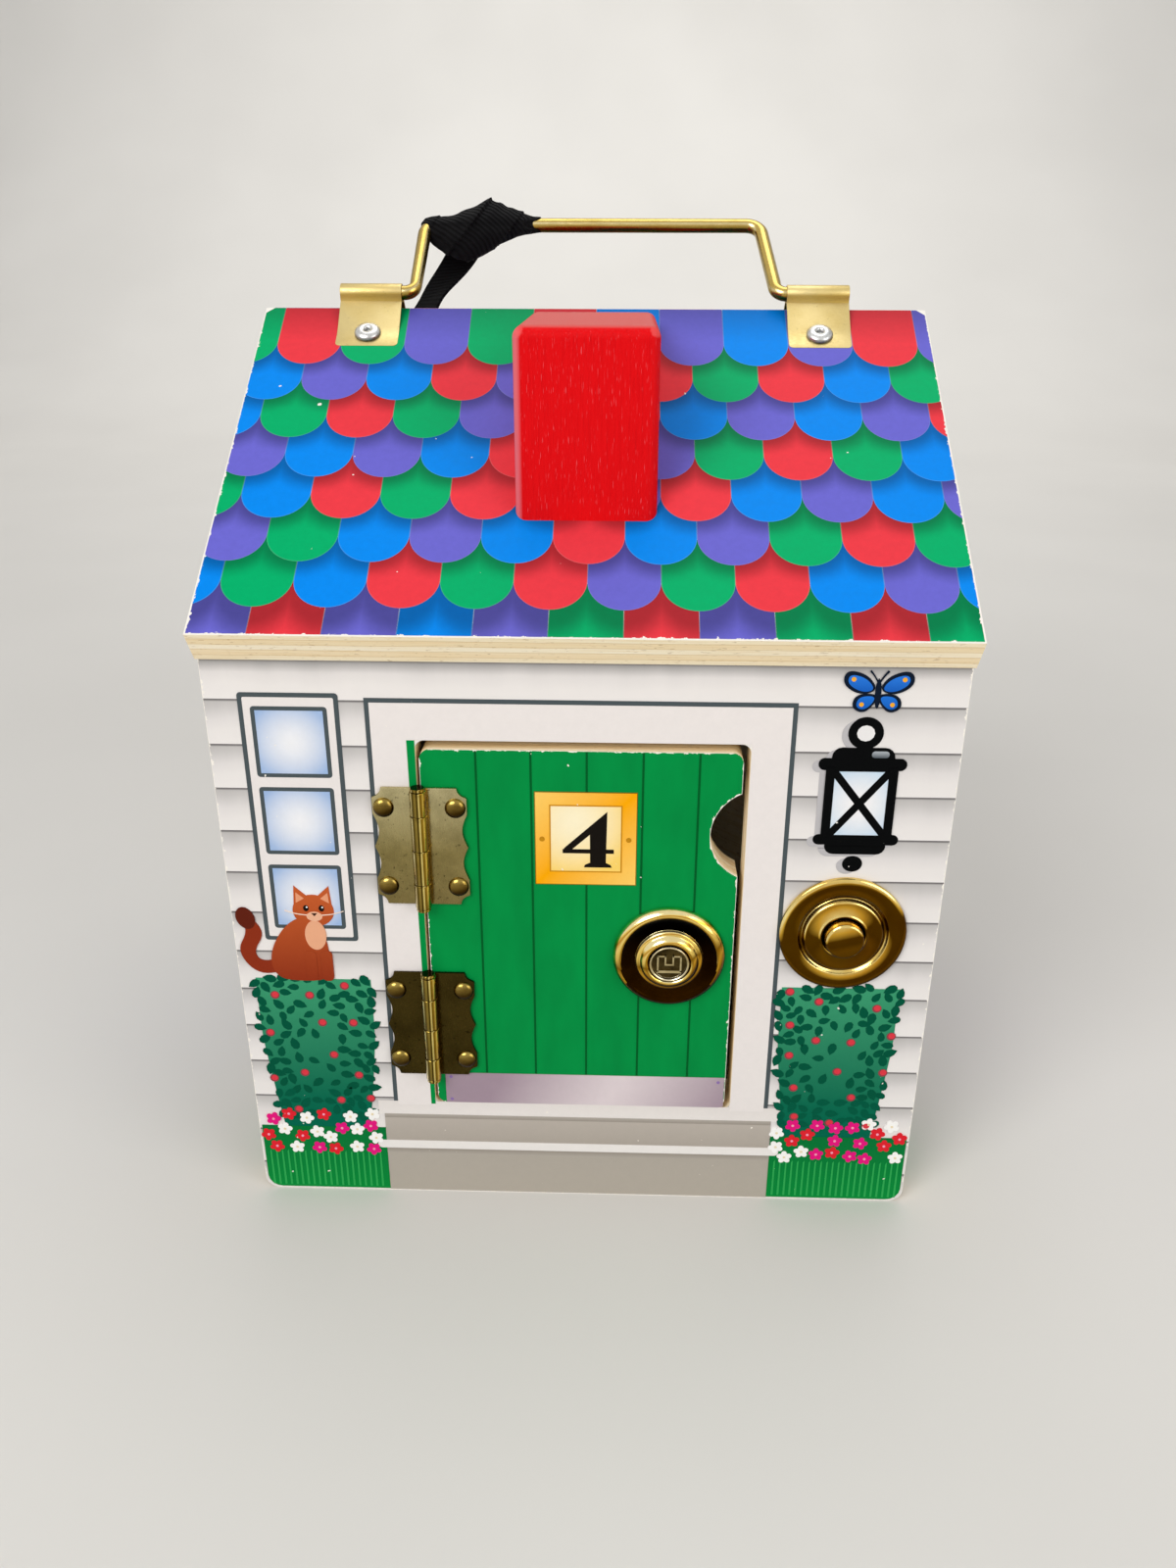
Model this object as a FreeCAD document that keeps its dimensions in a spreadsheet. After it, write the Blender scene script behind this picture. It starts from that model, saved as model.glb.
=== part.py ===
import FreeCAD, Part
import math
import os

import Sketcher
from FreeCAD import Placement, Rotation, Vector

os.makedirs("parts", exist_ok=True)
doc = FreeCAD.newDocument("DoorbellHouse")

# Driving dimensions in millimetres, angles in degrees. Z is up, the front faces -Y,
# and the origin is the middle of the house on the table.
SIZES = {
    # walls, roof and inner boards
    "house_width": 190.0,
    "house_depth": 190.0,
    "ply": 9.5,
    "roof_ply": 9.5,
    "thin_ply": 6.0,
    "roof_angle": 34.0,
    "eave_overhang": 6.0,
    "gable_overhang": 0.5,
    "ceiling_clear": 6.0,
    "attic_clear": 9.5,
    "wall_corner": 4.0,
    "lap_clearance": 0.1,
    # doors and their openings
    "door_width": 82.4,
    "door_height": 110.6,
    "door_sill": 33.0,
    "door_stop": 3.0,
    "hinge_gap": 0.9,
    "latch_gap": 1.7,
    "sill_gap": 0.5,
    "head_gap": 2.4,
    "door_corner": 3.0,
    "opening_corner": 2.5,
    "notch_radius": 13.2,
    "notch_drop": 23.2,
    "notch_beyond": 3.9,
    # hinges
    "hinge_height": 34.0,
    "hinge_top_inset": 10.4,
    "hinge_low_inset": 10.6,
    "hinge_reach": 12.3,
    "leaf_thickness": 1.0,
    "leaf_clip": 2.6,
    "knuckle_radius": 2.6,
    "knuckle_gap": 0.3,
    "pin_radius": 1.3,
    "pin_clearance": 0.08,
    "pin_proud": 0.9,
    "rivet_inset": 6.4,
    "rivet_end": 6.2,
    "rivet_head": 2.4,
    "rivet_dome": 1.3,
    "rivet_shank": 1.0,
    "rivet_length": 6.0,
    "wood_clearance": 0.05,
    "hole_relief": 0.2,
    # locks
    "lock_inset": 17.3,
    "lock_rise": 51.0,
    "lock_rim": 15.2,
    "lock_rim_height": 2.6,
    "lock_rim_width": 3.6,
    "small_bevel": 0.6,
    "lock_dish": 1.0,
    "lock_boss": 8.0,
    "lock_boss_height": 3.4,
    "barrel_radius": 9.4,
    "plug_radius": 5.5,
    "plug_clearance": 0.08,
    "plug_proud": 0.5,
    "keyway_width": 2.2,
    "keyway_height": 7.4,
    "keyway_depth": 9.0,
    "cam_length": 20.0,
    "cam_tip": 4.5,
    "cam_hub": 6.5,
    "cam_thickness": 2.0,
    "cam_clearance": 1.2,
    "neck_radius": 3.0,
    "screw_head": 4.0,
    "screw_head_height": 1.2,
    "screw_radius": 1.2,
    "screw_length": 4.0,
    # doorbells
    "bell_inset": 27.2,
    "bell_rise": 59.0,
    "bell_rim": 17.0,
    "bell_flange": 1.2,
    "bell_step": 11.8,
    "bell_step_height": 2.4,
    "bell_barrel": 7.2,
    "bell_wall": 1.0,
    "bell_lip": 0.9,
    "button_radius": 5.5,
    "button_clearance": 0.1,
    "button_proud": 5.2,
    "button_travel": 2.0,
    "button_flange": 1.2,
    "button_stem": 1.5,
    "stem_enter": 0.1,
    "switch_room": 1.3,
    "switch_bore": 1.8,
    "switch_floor": 0.7,
    "wire_radius": 0.7,
    "wire_clearance": 0.4,
    "wire_standoff": 2.2,
    "wire_bend": 2.0,
    "wire_drop": 6.0,
    "wire_inset": 4.0,
    "wire_side": 2.5,
    # chimney
    "chimney_width": 36.0,
    "chimney_front": 69.5,
    "chimney_back": 9.0,
    "chimney_drop": 0.2,
    "chimney_edge": 3.0,
    # handle and its brackets
    "bracket_width": 17.8,
    "bracket_inner": 55.4,
    "bracket_flap": 17.0,
    "bracket_sheet": 0.8,
    "bracket_rise": 4.2,
    "bracket_rivet": 11.7,
    "bracket_rivet_head": 3.7,
    "bracket_rivet_dome": 1.4,
    "handle_wire": 2.0,
    "handle_clearance": 0.1,
    "handle_half": 48.7,
    "handle_foot": 53.0,
    "handle_rise": 30.0,
    "lean_angle": 53.0,
    "foot_inset": 1.5,
    "handle_bend": 4.6,
    "foot_bend": 3.2,
    # strap, ring and keys
    "strap_width": 11.0,
    "strap_thickness": 1.0,
    "strap_gap": 0.55,
    "strap_turns": 2.5,
    "strap_left": 40.0,
    "strap_right": 24.0,
    "hang_slant": 15.5,
    "hang_bow": 1.8,
    "hang_drop": 24.5,
    "strap_knee": 9.0,
    "knee_lift": 1.6,
    "strap_fold": 3.2,
    "strap_hem": 6.0,
    "ring_clearance": 0.35,
    "ring_across": 58.0,
    "ring_down": 62.0,
    "ring_lift": 8.0,
    "ring_radius": 11.5,
    "ring_wire": 1.0,
    "key_bow": 8.5,
    "key_eye": 3.3,
    "key_eye_offset": 5.0,
    "key_reach": 39.0,
    "key_blade": 6.6,
    "key_thickness": 1.6,
    "key_bit": 3.0,
    "bit_step": 4.4,
    "bit_end": 5.0,
    "tilt_angle": 50.0,
    "fan_angle": 22.0,
    # sound unit under the floor
    "battery_length": 44.5,
    "battery_radius": 5.25,
    "battery_gap": 0.5,
    "battery_rest": 0.2,
    "battery_nub": 1.9,
    "nub_length": 1.0,
    "contact_room": 3.9,
    "cell_clear": 1.5,
    "box_wall": 1.6,
    "box_flange": 4.0,
    "box_inset": 9.8,
    "screw_post": 6.0,
    "cover_thickness": 1.6,
    "cover_lift": 0.3,
    "cover_gap": 0.3,
    "cover_head": 2.4,
    "cover_screw": 7.0,
    "speaker_radius": 18.0,
    "speaker_height": 9.0,
    "speaker_inset": 15.5,
    "sound_hole": 1.5,
    "sound_ring": 9.0,
    "sound_hole_angle": 60.0,
    "board_length": 50.0,
    "board_depth": 34.0,
    "board_thickness": 1.6,
    "board_lift": 5.0,
    "board_front": 5.0,
    "post_radius": 2.0,
    "post_inset": 9.0,
    "post_edge": 3.0,
    "chip_size": 9.0,
    "chip_height": 1.4,
    "capacitor_radius": 2.6,
    "capacitor_height": 5.5,
    "capacitor_across": 14.0,
}

sheet = doc.addObject("Spreadsheet::Sheet", "Sizes")
for row, (alias, number) in enumerate(SIZES.items(), start=1):
    sheet.set(f"A{row}", alias)
    sheet.set(f"B{row}", str(number))
    sheet.setAlias(f"B{row}", alias)
doc.recompute()


class Size:
    """A size worked out from the sheet: its number, and the expression that ties it to the cells."""

    def __init__(self, number, text):
        self.number = number
        self.text = text

    def __add__(self, other):
        other = size(other)
        return Size(self.number + other.number, f"({self.text} + {other.text})")

    def __radd__(self, other):
        return size(other) + self

    def __sub__(self, other):
        other = size(other)
        return Size(self.number - other.number, f"({self.text} - {other.text})")

    def __rsub__(self, other):
        return size(other) - self

    def __mul__(self, other):
        other = size(other)
        return Size(self.number * other.number, f"({self.text} * {other.text})")

    def __rmul__(self, other):
        return size(other) * self

    def __truediv__(self, other):
        other = size(other)
        return Size(self.number / other.number, f"({self.text} / {other.text})")

    def __neg__(self):
        return Size(-self.number, f"(0 - {self.text})")


def size(value):
    """value as a Size."""
    return value if isinstance(value, Size) else Size(float(value), repr(float(value)))


def cell(alias):
    """The size that the sheet holds under this name."""
    return Size(float(sheet.get(alias)), f"Sizes.{alias}")


def trig(name, angle):
    """The sine, cosine or tangent of an angle in degrees."""
    return Size(getattr(math, name)(math.radians(angle.number)), f"{name}({angle.text})")


def tie(piece, prop, value):
    """Ties one property of a piece to the sheet."""
    piece.setExpression(prop, size(value).text)


def put(piece, x, y, z):
    """Ties the place of a piece to the sheet."""
    for axis, value in zip("xyz", (x, y, z)):
        tie(piece, f"Placement.Base.{axis}", value)
    return piece


def box(name, length, width, height, x, y, z):
    """A block with its lowest corner at x, y, z."""
    piece = doc.addObject("Part::Box", name)
    tie(piece, "Length", length)
    tie(piece, "Width", width)
    tie(piece, "Height", height)
    return put(piece, x, y, z)


def rod(name, radius, length, x, y, z, along=Vector(0, 0, 1)):
    """A round bar that starts at x, y, z and runs along a direction."""
    piece = doc.addObject("Part::Cylinder", name)
    tie(piece, "Radius", radius)
    tie(piece, "Height", length)
    piece.Placement = Placement(Vector(), Rotation(Vector(0, 0, 1), along))
    return put(piece, x, y, z)


def fuse(name, *pieces):
    piece = doc.addObject("Part::MultiFuse", name)
    piece.Shapes = list(pieces)
    return piece


def cut(name, base, *tools):
    piece = doc.addObject("Part::Cut", name)
    piece.Base = base
    piece.Tool = tools[0] if len(tools) == 1 else fuse(f"{name}_tools", *tools)
    return piece


def together(name, *pieces):
    """Like pieces that share one sub-part."""
    piece = doc.addObject("Part::Compound", name)
    piece.Links = list(pieces)
    return piece


def sketch_on(body, role, name, lift=0):
    """A sketch on one of the body's own planes, raised along the plane's normal."""
    plane = [feature for feature in body.Origin.OriginFeatures if feature.Role == role][0]
    sketch = body.newObject("Sketcher::SketchObject", name)
    sketch.AttachmentSupport = [(plane, "")]
    sketch.MapMode = "FlatFace"
    tie(sketch, "AttachmentOffset.Base.z", lift)
    return sketch


def fix_point(sketch, geometry, point, x, y):
    """Holds a point of the sketch at x, y from its origin."""
    for kind, value, axis in (("DistanceX", size(x), -2), ("DistanceY", size(y), -1)):
        if value.number == 0:
            sketch.addConstraint(Sketcher.Constraint("PointOnObject", geometry, point, axis))
            continue
        index = sketch.addConstraint(
            Sketcher.Constraint(kind, -1, 1, geometry, point, value.number)
        )
        tie(sketch, f"Constraints[{index}]", value)


def draw_outline(sketch, points):
    """A closed outline of straight lines through the points."""
    places = [Vector(size(x).number, size(y).number, 0) for x, y in points]
    lines = [
        sketch.addGeometry(Part.LineSegment(a, b), False)
        for a, b in zip(places, places[1:] + places[:1])
    ]
    for line, after in zip(lines, lines[1:] + lines[:1]):
        sketch.addConstraint(Sketcher.Constraint("Coincident", line, 2, after, 1))
    for line, (x, y) in zip(lines, points):
        fix_point(sketch, line, 1, x, y)


def draw_circle(sketch, x, y, radius):
    x, y, radius = size(x), size(y), size(radius)
    circle = Part.Circle(Vector(x.number, y.number, 0), Vector(0, 0, 1), radius.number)
    index = sketch.addGeometry(circle, False)
    fix_point(sketch, index, 3, x, y)
    index = sketch.addConstraint(Sketcher.Constraint("Radius", index, radius.number))
    tie(sketch, f"Constraints[{index}]", radius)


def corners(left, low, right, high):
    """The four corners of a rectangle."""
    return [(left, low), (right, low), (right, high), (left, high)]


def pad(body, sketch, length, reverse=False):
    feature = body.newObject("PartDesign::Pad", f"{sketch.Name}_pad")
    feature.Profile = sketch
    feature.Reversed = reverse
    tie(feature, "Length", length)
    return feature


def pocket(body, sketch, length, reverse=False):
    feature = body.newObject("PartDesign::Pocket", f"{sketch.Name}_pocket")
    feature.Profile = sketch
    feature.Reversed = reverse
    tie(feature, "Length", length)
    return feature


def revolve(body, sketch):
    """The sketch turned round its own upright axis."""
    feature = body.newObject("PartDesign::Revolution", f"{sketch.Name}_turned")
    feature.Profile = sketch
    feature.ReferenceAxis = (sketch, ["V_Axis"])
    feature.Angle = 360.0
    return feature


def round_edges(body, radius, wanted):
    """Rounds the edges of the body's last feature that the test picks."""
    doc.recompute()
    base = body.Tip
    names = [
        f"Edge{number}"
        for number, edge in enumerate(base.Shape.Edges, start=1)
        if wanted(edge)
    ]
    feature = body.newObject("PartDesign::Fillet", f"{body.Name}_rounding")
    feature.Base = (base, names)
    tie(feature, "Radius", radius)
    return feature


def runs_along(edge, direction):
    """Whether an edge is a straight line along a direction."""
    if edge.Curve.TypeId != "Part::GeomLine":
        return False
    return abs(edge.Curve.Direction.dot(direction)) > 0.999


def tube(points, bends, radius):
    """A round bar along straight runs joined by tangent arcs, one bend radius for each inner point."""
    points = [Vector(*(size(value).number for value in point)) for point in points]
    edges = []
    start = points[0]
    for before, corner, after, bend in zip(points, points[1:], points[2:], bends):
        inward = (before - corner).normalize()
        outward = (after - corner).normalize()
        half_angle = inward.getAngle(outward) / 2
        trim = bend / math.tan(half_angle)
        first = corner + inward * trim
        last = corner + outward * trim
        centre = corner + (inward + outward).normalize() * (bend / math.sin(half_angle))
        middle = centre + (corner - centre).normalize() * bend
        edges.append(Part.LineSegment(start, first).toShape())
        edges.append(Part.Arc(first, middle, last).toShape())
        start = last
    edges.append(Part.LineSegment(start, points[-1]).toShape())
    heading = (points[1] - points[0]).normalize()
    section = Part.Wire([Part.makeCircle(radius, points[0], heading)])
    return Part.Wire(edges).makePipeShell([section], True, False)


def shaped(name, shape, placement=None):
    """A sub-part whose shape is worked out point by point."""
    piece = doc.addObject("Part::Feature", name)
    piece.Shape = shape
    if placement:
        piece.Placement = placement
    return piece


def side_place(piece, side, x, y, z):
    """Puts a piece on one side of the house. x runs along the wall, y inwards from its face."""
    x, y = size(x), size(y)
    if side == "front":
        return put(piece, x, y - half_depth, z)
    if side == "back":
        return put(piece, -x, half_depth - y, z)
    if side == "right":
        return put(piece, half_width - y, x, z)
    return put(piece, y - half_width, -x, z)


def side_turned(piece, side, x=0, y=0, z=0):
    """The same, for a piece drawn at the front that turns with its side."""
    piece.Placement = Placement(Vector(), side_rotation(side))
    return side_place(piece, side, x, y, z)


def side_rotation(side):
    """The turn that carries a piece from the front to its side, a quarter for each wall."""
    quarter_turns = list(SIDE_FACES).index(side)
    made = Rotation()
    for _ in range(quarter_turns):
        made = Rotation(Vector(0, -1, 0), Vector(1, 0, 0)).multiply(made)
    return made


SIDE_FACES = {
    "front": Vector(0, -1, 0),
    "right": Vector(1, 0, 0),
    "back": Vector(0, 1, 0),
    "left": Vector(-1, 0, 0),
}
OUTWARD = Vector(0, -1, 0)
INWARD = Vector(0, 1, 0)

half_width = cell("house_width") / 2
half_depth = cell("house_depth") / 2
ply = cell("ply")
thin_ply = cell("thin_ply")
slope = trig("tan", cell("roof_angle"))
roof_drop = cell("roof_ply") / trig("cos", cell("roof_angle"))
inner_width = cell("house_width") - 2 * ply
inner_depth = cell("house_depth") - 2 * ply

# The opening in each wall, and the door in it, seen from outside with x to the right.
opening_half = (cell("door_width") + cell("hinge_gap") + cell("latch_gap")) / 2
opening_low = cell("door_sill") - cell("sill_gap")
opening_high = cell("door_sill") + cell("door_height") + cell("head_gap")
door_left = cell("hinge_gap") - opening_half
door_right = door_left + cell("door_width")
door_low = cell("door_sill")
door_high = door_low + cell("door_height")
hinge_x = cell("hinge_gap") / 2 - opening_half
hinge_feet = {
    "upper": door_high - cell("hinge_top_inset") - cell("hinge_height"),
    "lower": door_low + cell("hinge_low_inset"),
}
rivet_hole = cell("rivet_shank") + cell("wood_clearance")
rivet_levels = [
    foot + step
    for foot in hinge_feet.values()
    for step in (cell("rivet_end"), cell("hinge_height") - cell("rivet_end"))
]
lock_across = door_right - cell("lock_inset")
lock_height = door_low + cell("lock_rise")
bell_across = opening_half + cell("bell_inset")
bell_height = door_low + cell("bell_rise")
bell_hole = cell("bell_barrel") + cell("wood_clearance")

# Levels: the floor above the sills, the ceiling over the doors and the ridge over both.
floor_top = door_low + cell("door_stop")
floor_low = floor_top - thin_ply
ceiling_low = opening_high + cell("ceiling_clear")
wall_top = ceiling_low + thin_ply + cell("attic_clear")
ridge_height = wall_top + half_depth * slope + roof_drop


def roof_under(distance):
    """The height of the roof's underside at a distance from the ridge."""
    return ridge_height - distance * slope - roof_drop


def roof_over(distance):
    """The height of the roof's top at a distance from the ridge."""
    return ridge_height - distance * slope


# Base: a ply board set between the walls, flush with their feet. It has the battery opening
# and the speaker's sound holes.
box_low = cell("cover_lift") + cell("cover_thickness")
box_top = box_low + 2 * cell("battery_radius") + cell("cell_clear") + cell("box_wall")
box_length = (
    cell("battery_length")
    + 2 * cell("contact_room")
    + cell("screw_post")
    + 2 * cell("box_wall")
)
box_depth = (
    6 * cell("battery_radius")
    + 2 * cell("battery_gap")
    + 2 * cell("contact_room")
    + 2 * cell("box_wall")
)
box_back = inner_depth / 2 - cell("box_inset") - cell("box_flange") - box_depth / 2
speaker_front = inner_depth / 2 - cell("speaker_inset") - cell("speaker_radius")


def make_base_board():
    board = box(
        "base_blank", inner_width, inner_depth, thin_ply, -inner_width / 2, -inner_depth / 2, 0
    )
    gap = cell("cover_gap")
    hatch = box(
        "base_hatch",
        box_length + 2 * gap,
        box_depth + 2 * gap,
        thin_ply,
        -box_length / 2 - gap,
        box_back - box_depth / 2 - gap,
        0,
    )
    spread, hole = cell("sound_ring"), cell("sound_hole")
    holes = [rod("sound_hole_0", hole, thin_ply, 0, -speaker_front, 0)]
    for number in range(1, 7):
        turn = cell("sound_hole_angle") * number
        holes.append(
            rod(
                f"sound_hole_{number}",
                hole,
                thin_ply,
                spread * trig("cos", turn),
                spread * trig("sin", turn) - speaker_front,
                0,
            )
        )
    return cut("base_board", board, hatch, *holes)


wire_y = ply + cell("wire_standoff")
wire_across = bell_across - cell("wire_side")


def make_floor_board():
    """The floor stands a little above the sills, so its edges stop the doors."""
    board = box(
        "floor_blank",
        inner_width,
        inner_depth,
        thin_ply,
        -inner_width / 2,
        -inner_depth / 2,
        floor_low,
    )
    holes = []
    for side in SIDE_FACES:
        radius = cell("wire_radius") + cell("wire_clearance")
        hole = rod(f"{side}_wire_hole", radius, thin_ply, 0, 0, 0)
        holes.append(side_place(hole, side, wire_across, wire_y, floor_low))
    return cut("floor_board", board, *holes)


def make_ceiling_board():
    return box(
        "ceiling_board",
        inner_width,
        inner_depth,
        thin_ply,
        -inner_width / 2,
        -inner_depth / 2,
        ceiling_low,
    )


def cut_wall_openings(body, side):
    """The doorway, the doorbell's hole and the holes for the hinges' rivets."""
    doorway = sketch_on(body, "XZ_Plane", f"{side}_doorway")
    draw_outline(doorway, corners(-opening_half, opening_low, opening_half, opening_high))
    pocket(body, doorway, ply)
    bell = sketch_on(body, "XZ_Plane", f"{side}_bell_hole")
    draw_circle(bell, bell_across, bell_height, bell_hole)
    pocket(body, bell, ply)
    rivets = sketch_on(body, "XZ_Plane", f"{side}_wall_rivets")
    for level in rivet_levels:
        draw_circle(rivets, hinge_x - cell("rivet_inset"), level, rivet_hole)
    pocket(body, rivets, cell("rivet_length") + cell("hole_relief"))
    low, high = opening_low.number, opening_high.number
    reach = opening_half.number

    def at_corner(edge):
        middle = edge.CenterOfMass
        beside = abs(abs(middle.x) - reach) < 0.01
        level = min(abs(middle.z - low), abs(middle.z - high)) < 0.01
        return runs_along(edge, INWARD) and beside and level

    round_edges(body, cell("opening_corner"), at_corner)
    return side_turned(body, side)


def make_long_wall(side):
    """A front or back wall, with rounded feet, whose top follows the underside of the roof."""
    body = doc.addObject("PartDesign::Body", f"wall_{side}")
    profile = sketch_on(body, "YZ_Plane", f"{side}_profile", -half_width)
    draw_outline(
        profile,
        [(0, 0), (ply, 0), (ply, roof_under(half_depth - ply)), (0, roof_under(half_depth))],
    )
    pad(body, profile, cell("house_width"))
    reach = half_width.number

    def at_foot(edge):
        middle = edge.CenterOfMass
        return runs_along(edge, INWARD) and middle.z < 0.01 and abs(abs(middle.x) - reach) < 0.01

    round_edges(body, cell("wall_corner"), at_foot)
    return cut_wall_openings(body, side)


def make_gable_wall(side):
    """A side wall between the long walls, with its gable under the ridge."""
    body = doc.addObject("PartDesign::Body", f"wall_{side}")
    outline = sketch_on(body, "XZ_Plane", f"{side}_gable")
    reach = half_depth - ply
    draw_outline(
        outline,
        [
            (-reach, 0),
            (reach, 0),
            (reach, roof_under(reach)),
            (0, roof_under(size(0))),
            (-reach, roof_under(reach)),
        ],
    )
    pad(body, outline, ply, True)
    return cut_wall_openings(body, side)


def make_partitions():
    """Two boards from corner to corner, half lapped at the middle, make the four rooms."""
    across = (inner_width * inner_width + inner_depth * inner_depth).number ** 0.5
    turn = math.degrees(math.atan2(inner_depth.number, inner_width.number))
    narrow = min(math.radians(turn), math.radians(90 - turn))
    reach = across / 2 - thin_ply.number / 2 / math.tan(narrow)
    half = thin_ply.number / 2
    lap = half / math.sin(2 * math.radians(turn)) + half / abs(math.tan(2 * math.radians(turn)))
    slot = lap + cell("lap_clearance").number
    height = (ceiling_low - floor_top).number
    foot = floor_top.number
    boards = []
    for name, angle, slot_low in (("partition_a", turn, height / 2), ("partition_b", -turn, 0)):
        board = Part.makeBox(2 * reach, 2 * half, height, Vector(-reach, -half, 0))
        notch = Part.makeBox(2 * slot, 4 * half, height / 2, Vector(-slot, -2 * half, slot_low))
        placement = Placement(Vector(0, 0, foot), Rotation(Vector(0, 0, 1), angle))
        boards.append(shaped(name, board.cut(notch), placement))
    return boards


def make_roof_board(side, sign):
    """A roof board, cut plumb at the ridge and square at the eave."""
    body = doc.addObject("PartDesign::Body", f"roof_{side}")
    length = cell("house_width") + 2 * cell("gable_overhang")
    profile = sketch_on(body, "YZ_Plane", f"roof_{side}_profile", -length / 2)
    eave = half_depth + cell("eave_overhang")
    pitch = cell("roof_angle")
    under = eave - cell("roof_ply") * trig("sin", pitch)
    draw_outline(
        profile,
        [
            (0, ridge_height),
            (sign * eave, roof_over(eave)),
            (sign * under, roof_over(eave) - cell("roof_ply") * trig("cos", pitch)),
            (0, ridge_height - roof_drop),
        ],
    )
    pad(body, profile, length)
    return body


def make_chimney():
    """A solid wood block with worn edges, cut underneath to the slope of the front roof."""
    body = doc.addObject("PartDesign::Body", "chimney")
    front, back = cell("chimney_front"), cell("chimney_back")
    top = ridge_height - cell("chimney_drop")
    profile = sketch_on(body, "YZ_Plane", "chimney_profile", -cell("chimney_width") / 2)
    draw_outline(
        profile, [(-front, roof_over(front)), (-back, roof_over(back)), (-back, top), (-front, top)]
    )
    pad(body, profile, cell("chimney_width"))
    high, ahead = top.number, -front.number

    def on_show(edge):
        middle = edge.CenterOfMass
        at_top = abs(middle.z - high) < 0.01
        at_front = abs(middle.y - ahead) < 0.01 and runs_along(edge, Vector(0, 0, 1))
        return at_top or at_front

    round_edges(body, cell("chimney_edge"), on_show)
    return body


# Hinges. Each leaf lies flat on the wood and has two of the barrel's four knuckles.
segment = cell("hinge_height") / 4
bore_radius = cell("pin_radius") + cell("pin_clearance")


def make_leaf(name, side, foot, to_door):
    """One leaf: to_door is 1 for the leaf on the door and -1 for the one on the wall."""
    reach, clip = cell("hinge_reach"), cell("leaf_clip")
    thickness = cell("leaf_thickness")
    knuckle = cell("knuckle_radius")
    near = knuckle + cell("knuckle_gap")
    height = cell("hinge_height")
    plate = doc.addObject("PartDesign::Body", f"{name}_plate")
    outline = sketch_on(plate, "XZ_Plane", f"{name}_outline")
    draw_outline(
        outline,
        [
            (to_door * near, 0),
            (to_door * (reach - clip), 0),
            (to_door * reach, clip),
            (to_door * reach, height - clip),
            (to_door * (reach - clip), height),
            (to_door * near, height),
        ],
    )
    pad(plate, outline, thickness)
    put(plate, hinge_x, 0, foot)
    pieces = [plate]
    first = 0 if to_door < 0 else 1
    for number in (first, first + 2):
        low = foot + segment * number + cell("knuckle_gap") / 2
        length = segment - cell("knuckle_gap")
        left = hinge_x if to_door > 0 else hinge_x - near - thickness
        pieces.append(
            box(f"{name}_tab_{number}", near + thickness, thickness, length, left, -thickness, low)
        )
        pieces.append(rod(f"{name}_knuckle_{number}", knuckle, length, hinge_x, -knuckle, low))
    bore = rod(f"{name}_bore", bore_radius, height, hinge_x, -knuckle, foot)
    across = hinge_x + to_door * cell("rivet_inset")
    end = cell("rivet_end")
    holes = [
        rod(f"{name}_hole_{number}", rivet_hole, thickness, across, 0, foot + step, OUTWARD)
        for number, step in enumerate((end, height - end))
    ]
    leaf = cut(name, fuse(f"{name}_blank", *pieces), bore, *holes)
    return side_turned(leaf, side)


def make_rivet(name, side, x, z):
    """A round-headed rivet through a leaf: a dome over the leaf and a shank in the wood."""
    body = doc.addObject("PartDesign::Body", name)
    sketch = sketch_on(body, "XY_Plane", f"{name}_section")
    shank, head, dome = cell("rivet_shank"), cell("rivet_head"), cell("rivet_dome")
    face = -cell("leaf_thickness")
    draw_outline(
        sketch,
        [
            (0, cell("rivet_length")),
            (0, face - dome),
            (head * 0.45, face - dome * 0.88),
            (head * 0.83, face - dome * 0.5),
            (head, face),
            (shank, face),
            (shank, cell("rivet_length")),
        ],
    )
    revolve(body, sketch)
    return side_turned(body, side, x, 0, z)


def make_pin(name, side, foot):
    """The hinge's pin, with a small head at each end of the barrel."""
    proud = cell("pin_proud")
    knuckle = cell("knuckle_radius")
    height = cell("hinge_height")
    shaft = rod(f"{name}_shaft", cell("pin_radius"), height, hinge_x, -knuckle, foot)
    low = rod(f"{name}_low", knuckle * 0.75, proud, hinge_x, -knuckle, foot - proud)
    high = rod(f"{name}_high", knuckle * 0.75, proud, hinge_x, -knuckle, foot + height)
    return side_turned(fuse(name, shaft, low, high), side)


def make_door(side):
    """A door of the wall's own board, with rounded corners, a finger notch and the lock's bore."""
    body = doc.addObject("PartDesign::Body", f"{side}_door")
    outline = sketch_on(body, "XZ_Plane", f"{side}_door_outline")
    draw_outline(outline, corners(door_left, door_low, door_right, door_high))
    pad(body, outline, ply, True)
    right, low, high = door_right.number, door_low.number, door_high.number
    left = door_left.number

    def at_corner(edge):
        middle = edge.CenterOfMass
        beside = min(abs(middle.x - left), abs(middle.x - right)) < 0.01
        level = min(abs(middle.z - low), abs(middle.z - high)) < 0.01
        return runs_along(edge, INWARD) and beside and level

    round_edges(body, cell("door_corner"), at_corner)
    notch = sketch_on(body, "XZ_Plane", f"{side}_notch")
    draw_circle(
        notch,
        opening_half + cell("notch_beyond"),
        door_high - cell("notch_drop"),
        cell("notch_radius"),
    )
    pocket(body, notch, ply)
    bore = sketch_on(body, "XZ_Plane", f"{side}_lock_bore")
    draw_circle(bore, lock_across, lock_height, cell("barrel_radius") + cell("wood_clearance"))
    pocket(body, bore, ply)
    rivets = sketch_on(body, "XZ_Plane", f"{side}_door_rivets")
    for level in rivet_levels:
        draw_circle(rivets, hinge_x + cell("rivet_inset"), level, rivet_hole)
    pocket(body, rivets, cell("rivet_length") + cell("hole_relief"))
    return side_turned(body, side)


# Locks. A dished brass case is pressed into the door, and its plug carries a cam behind it.
plug_bore = cell("plug_radius") + cell("plug_clearance")
case_back = ply + cell("cam_clearance")


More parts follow.
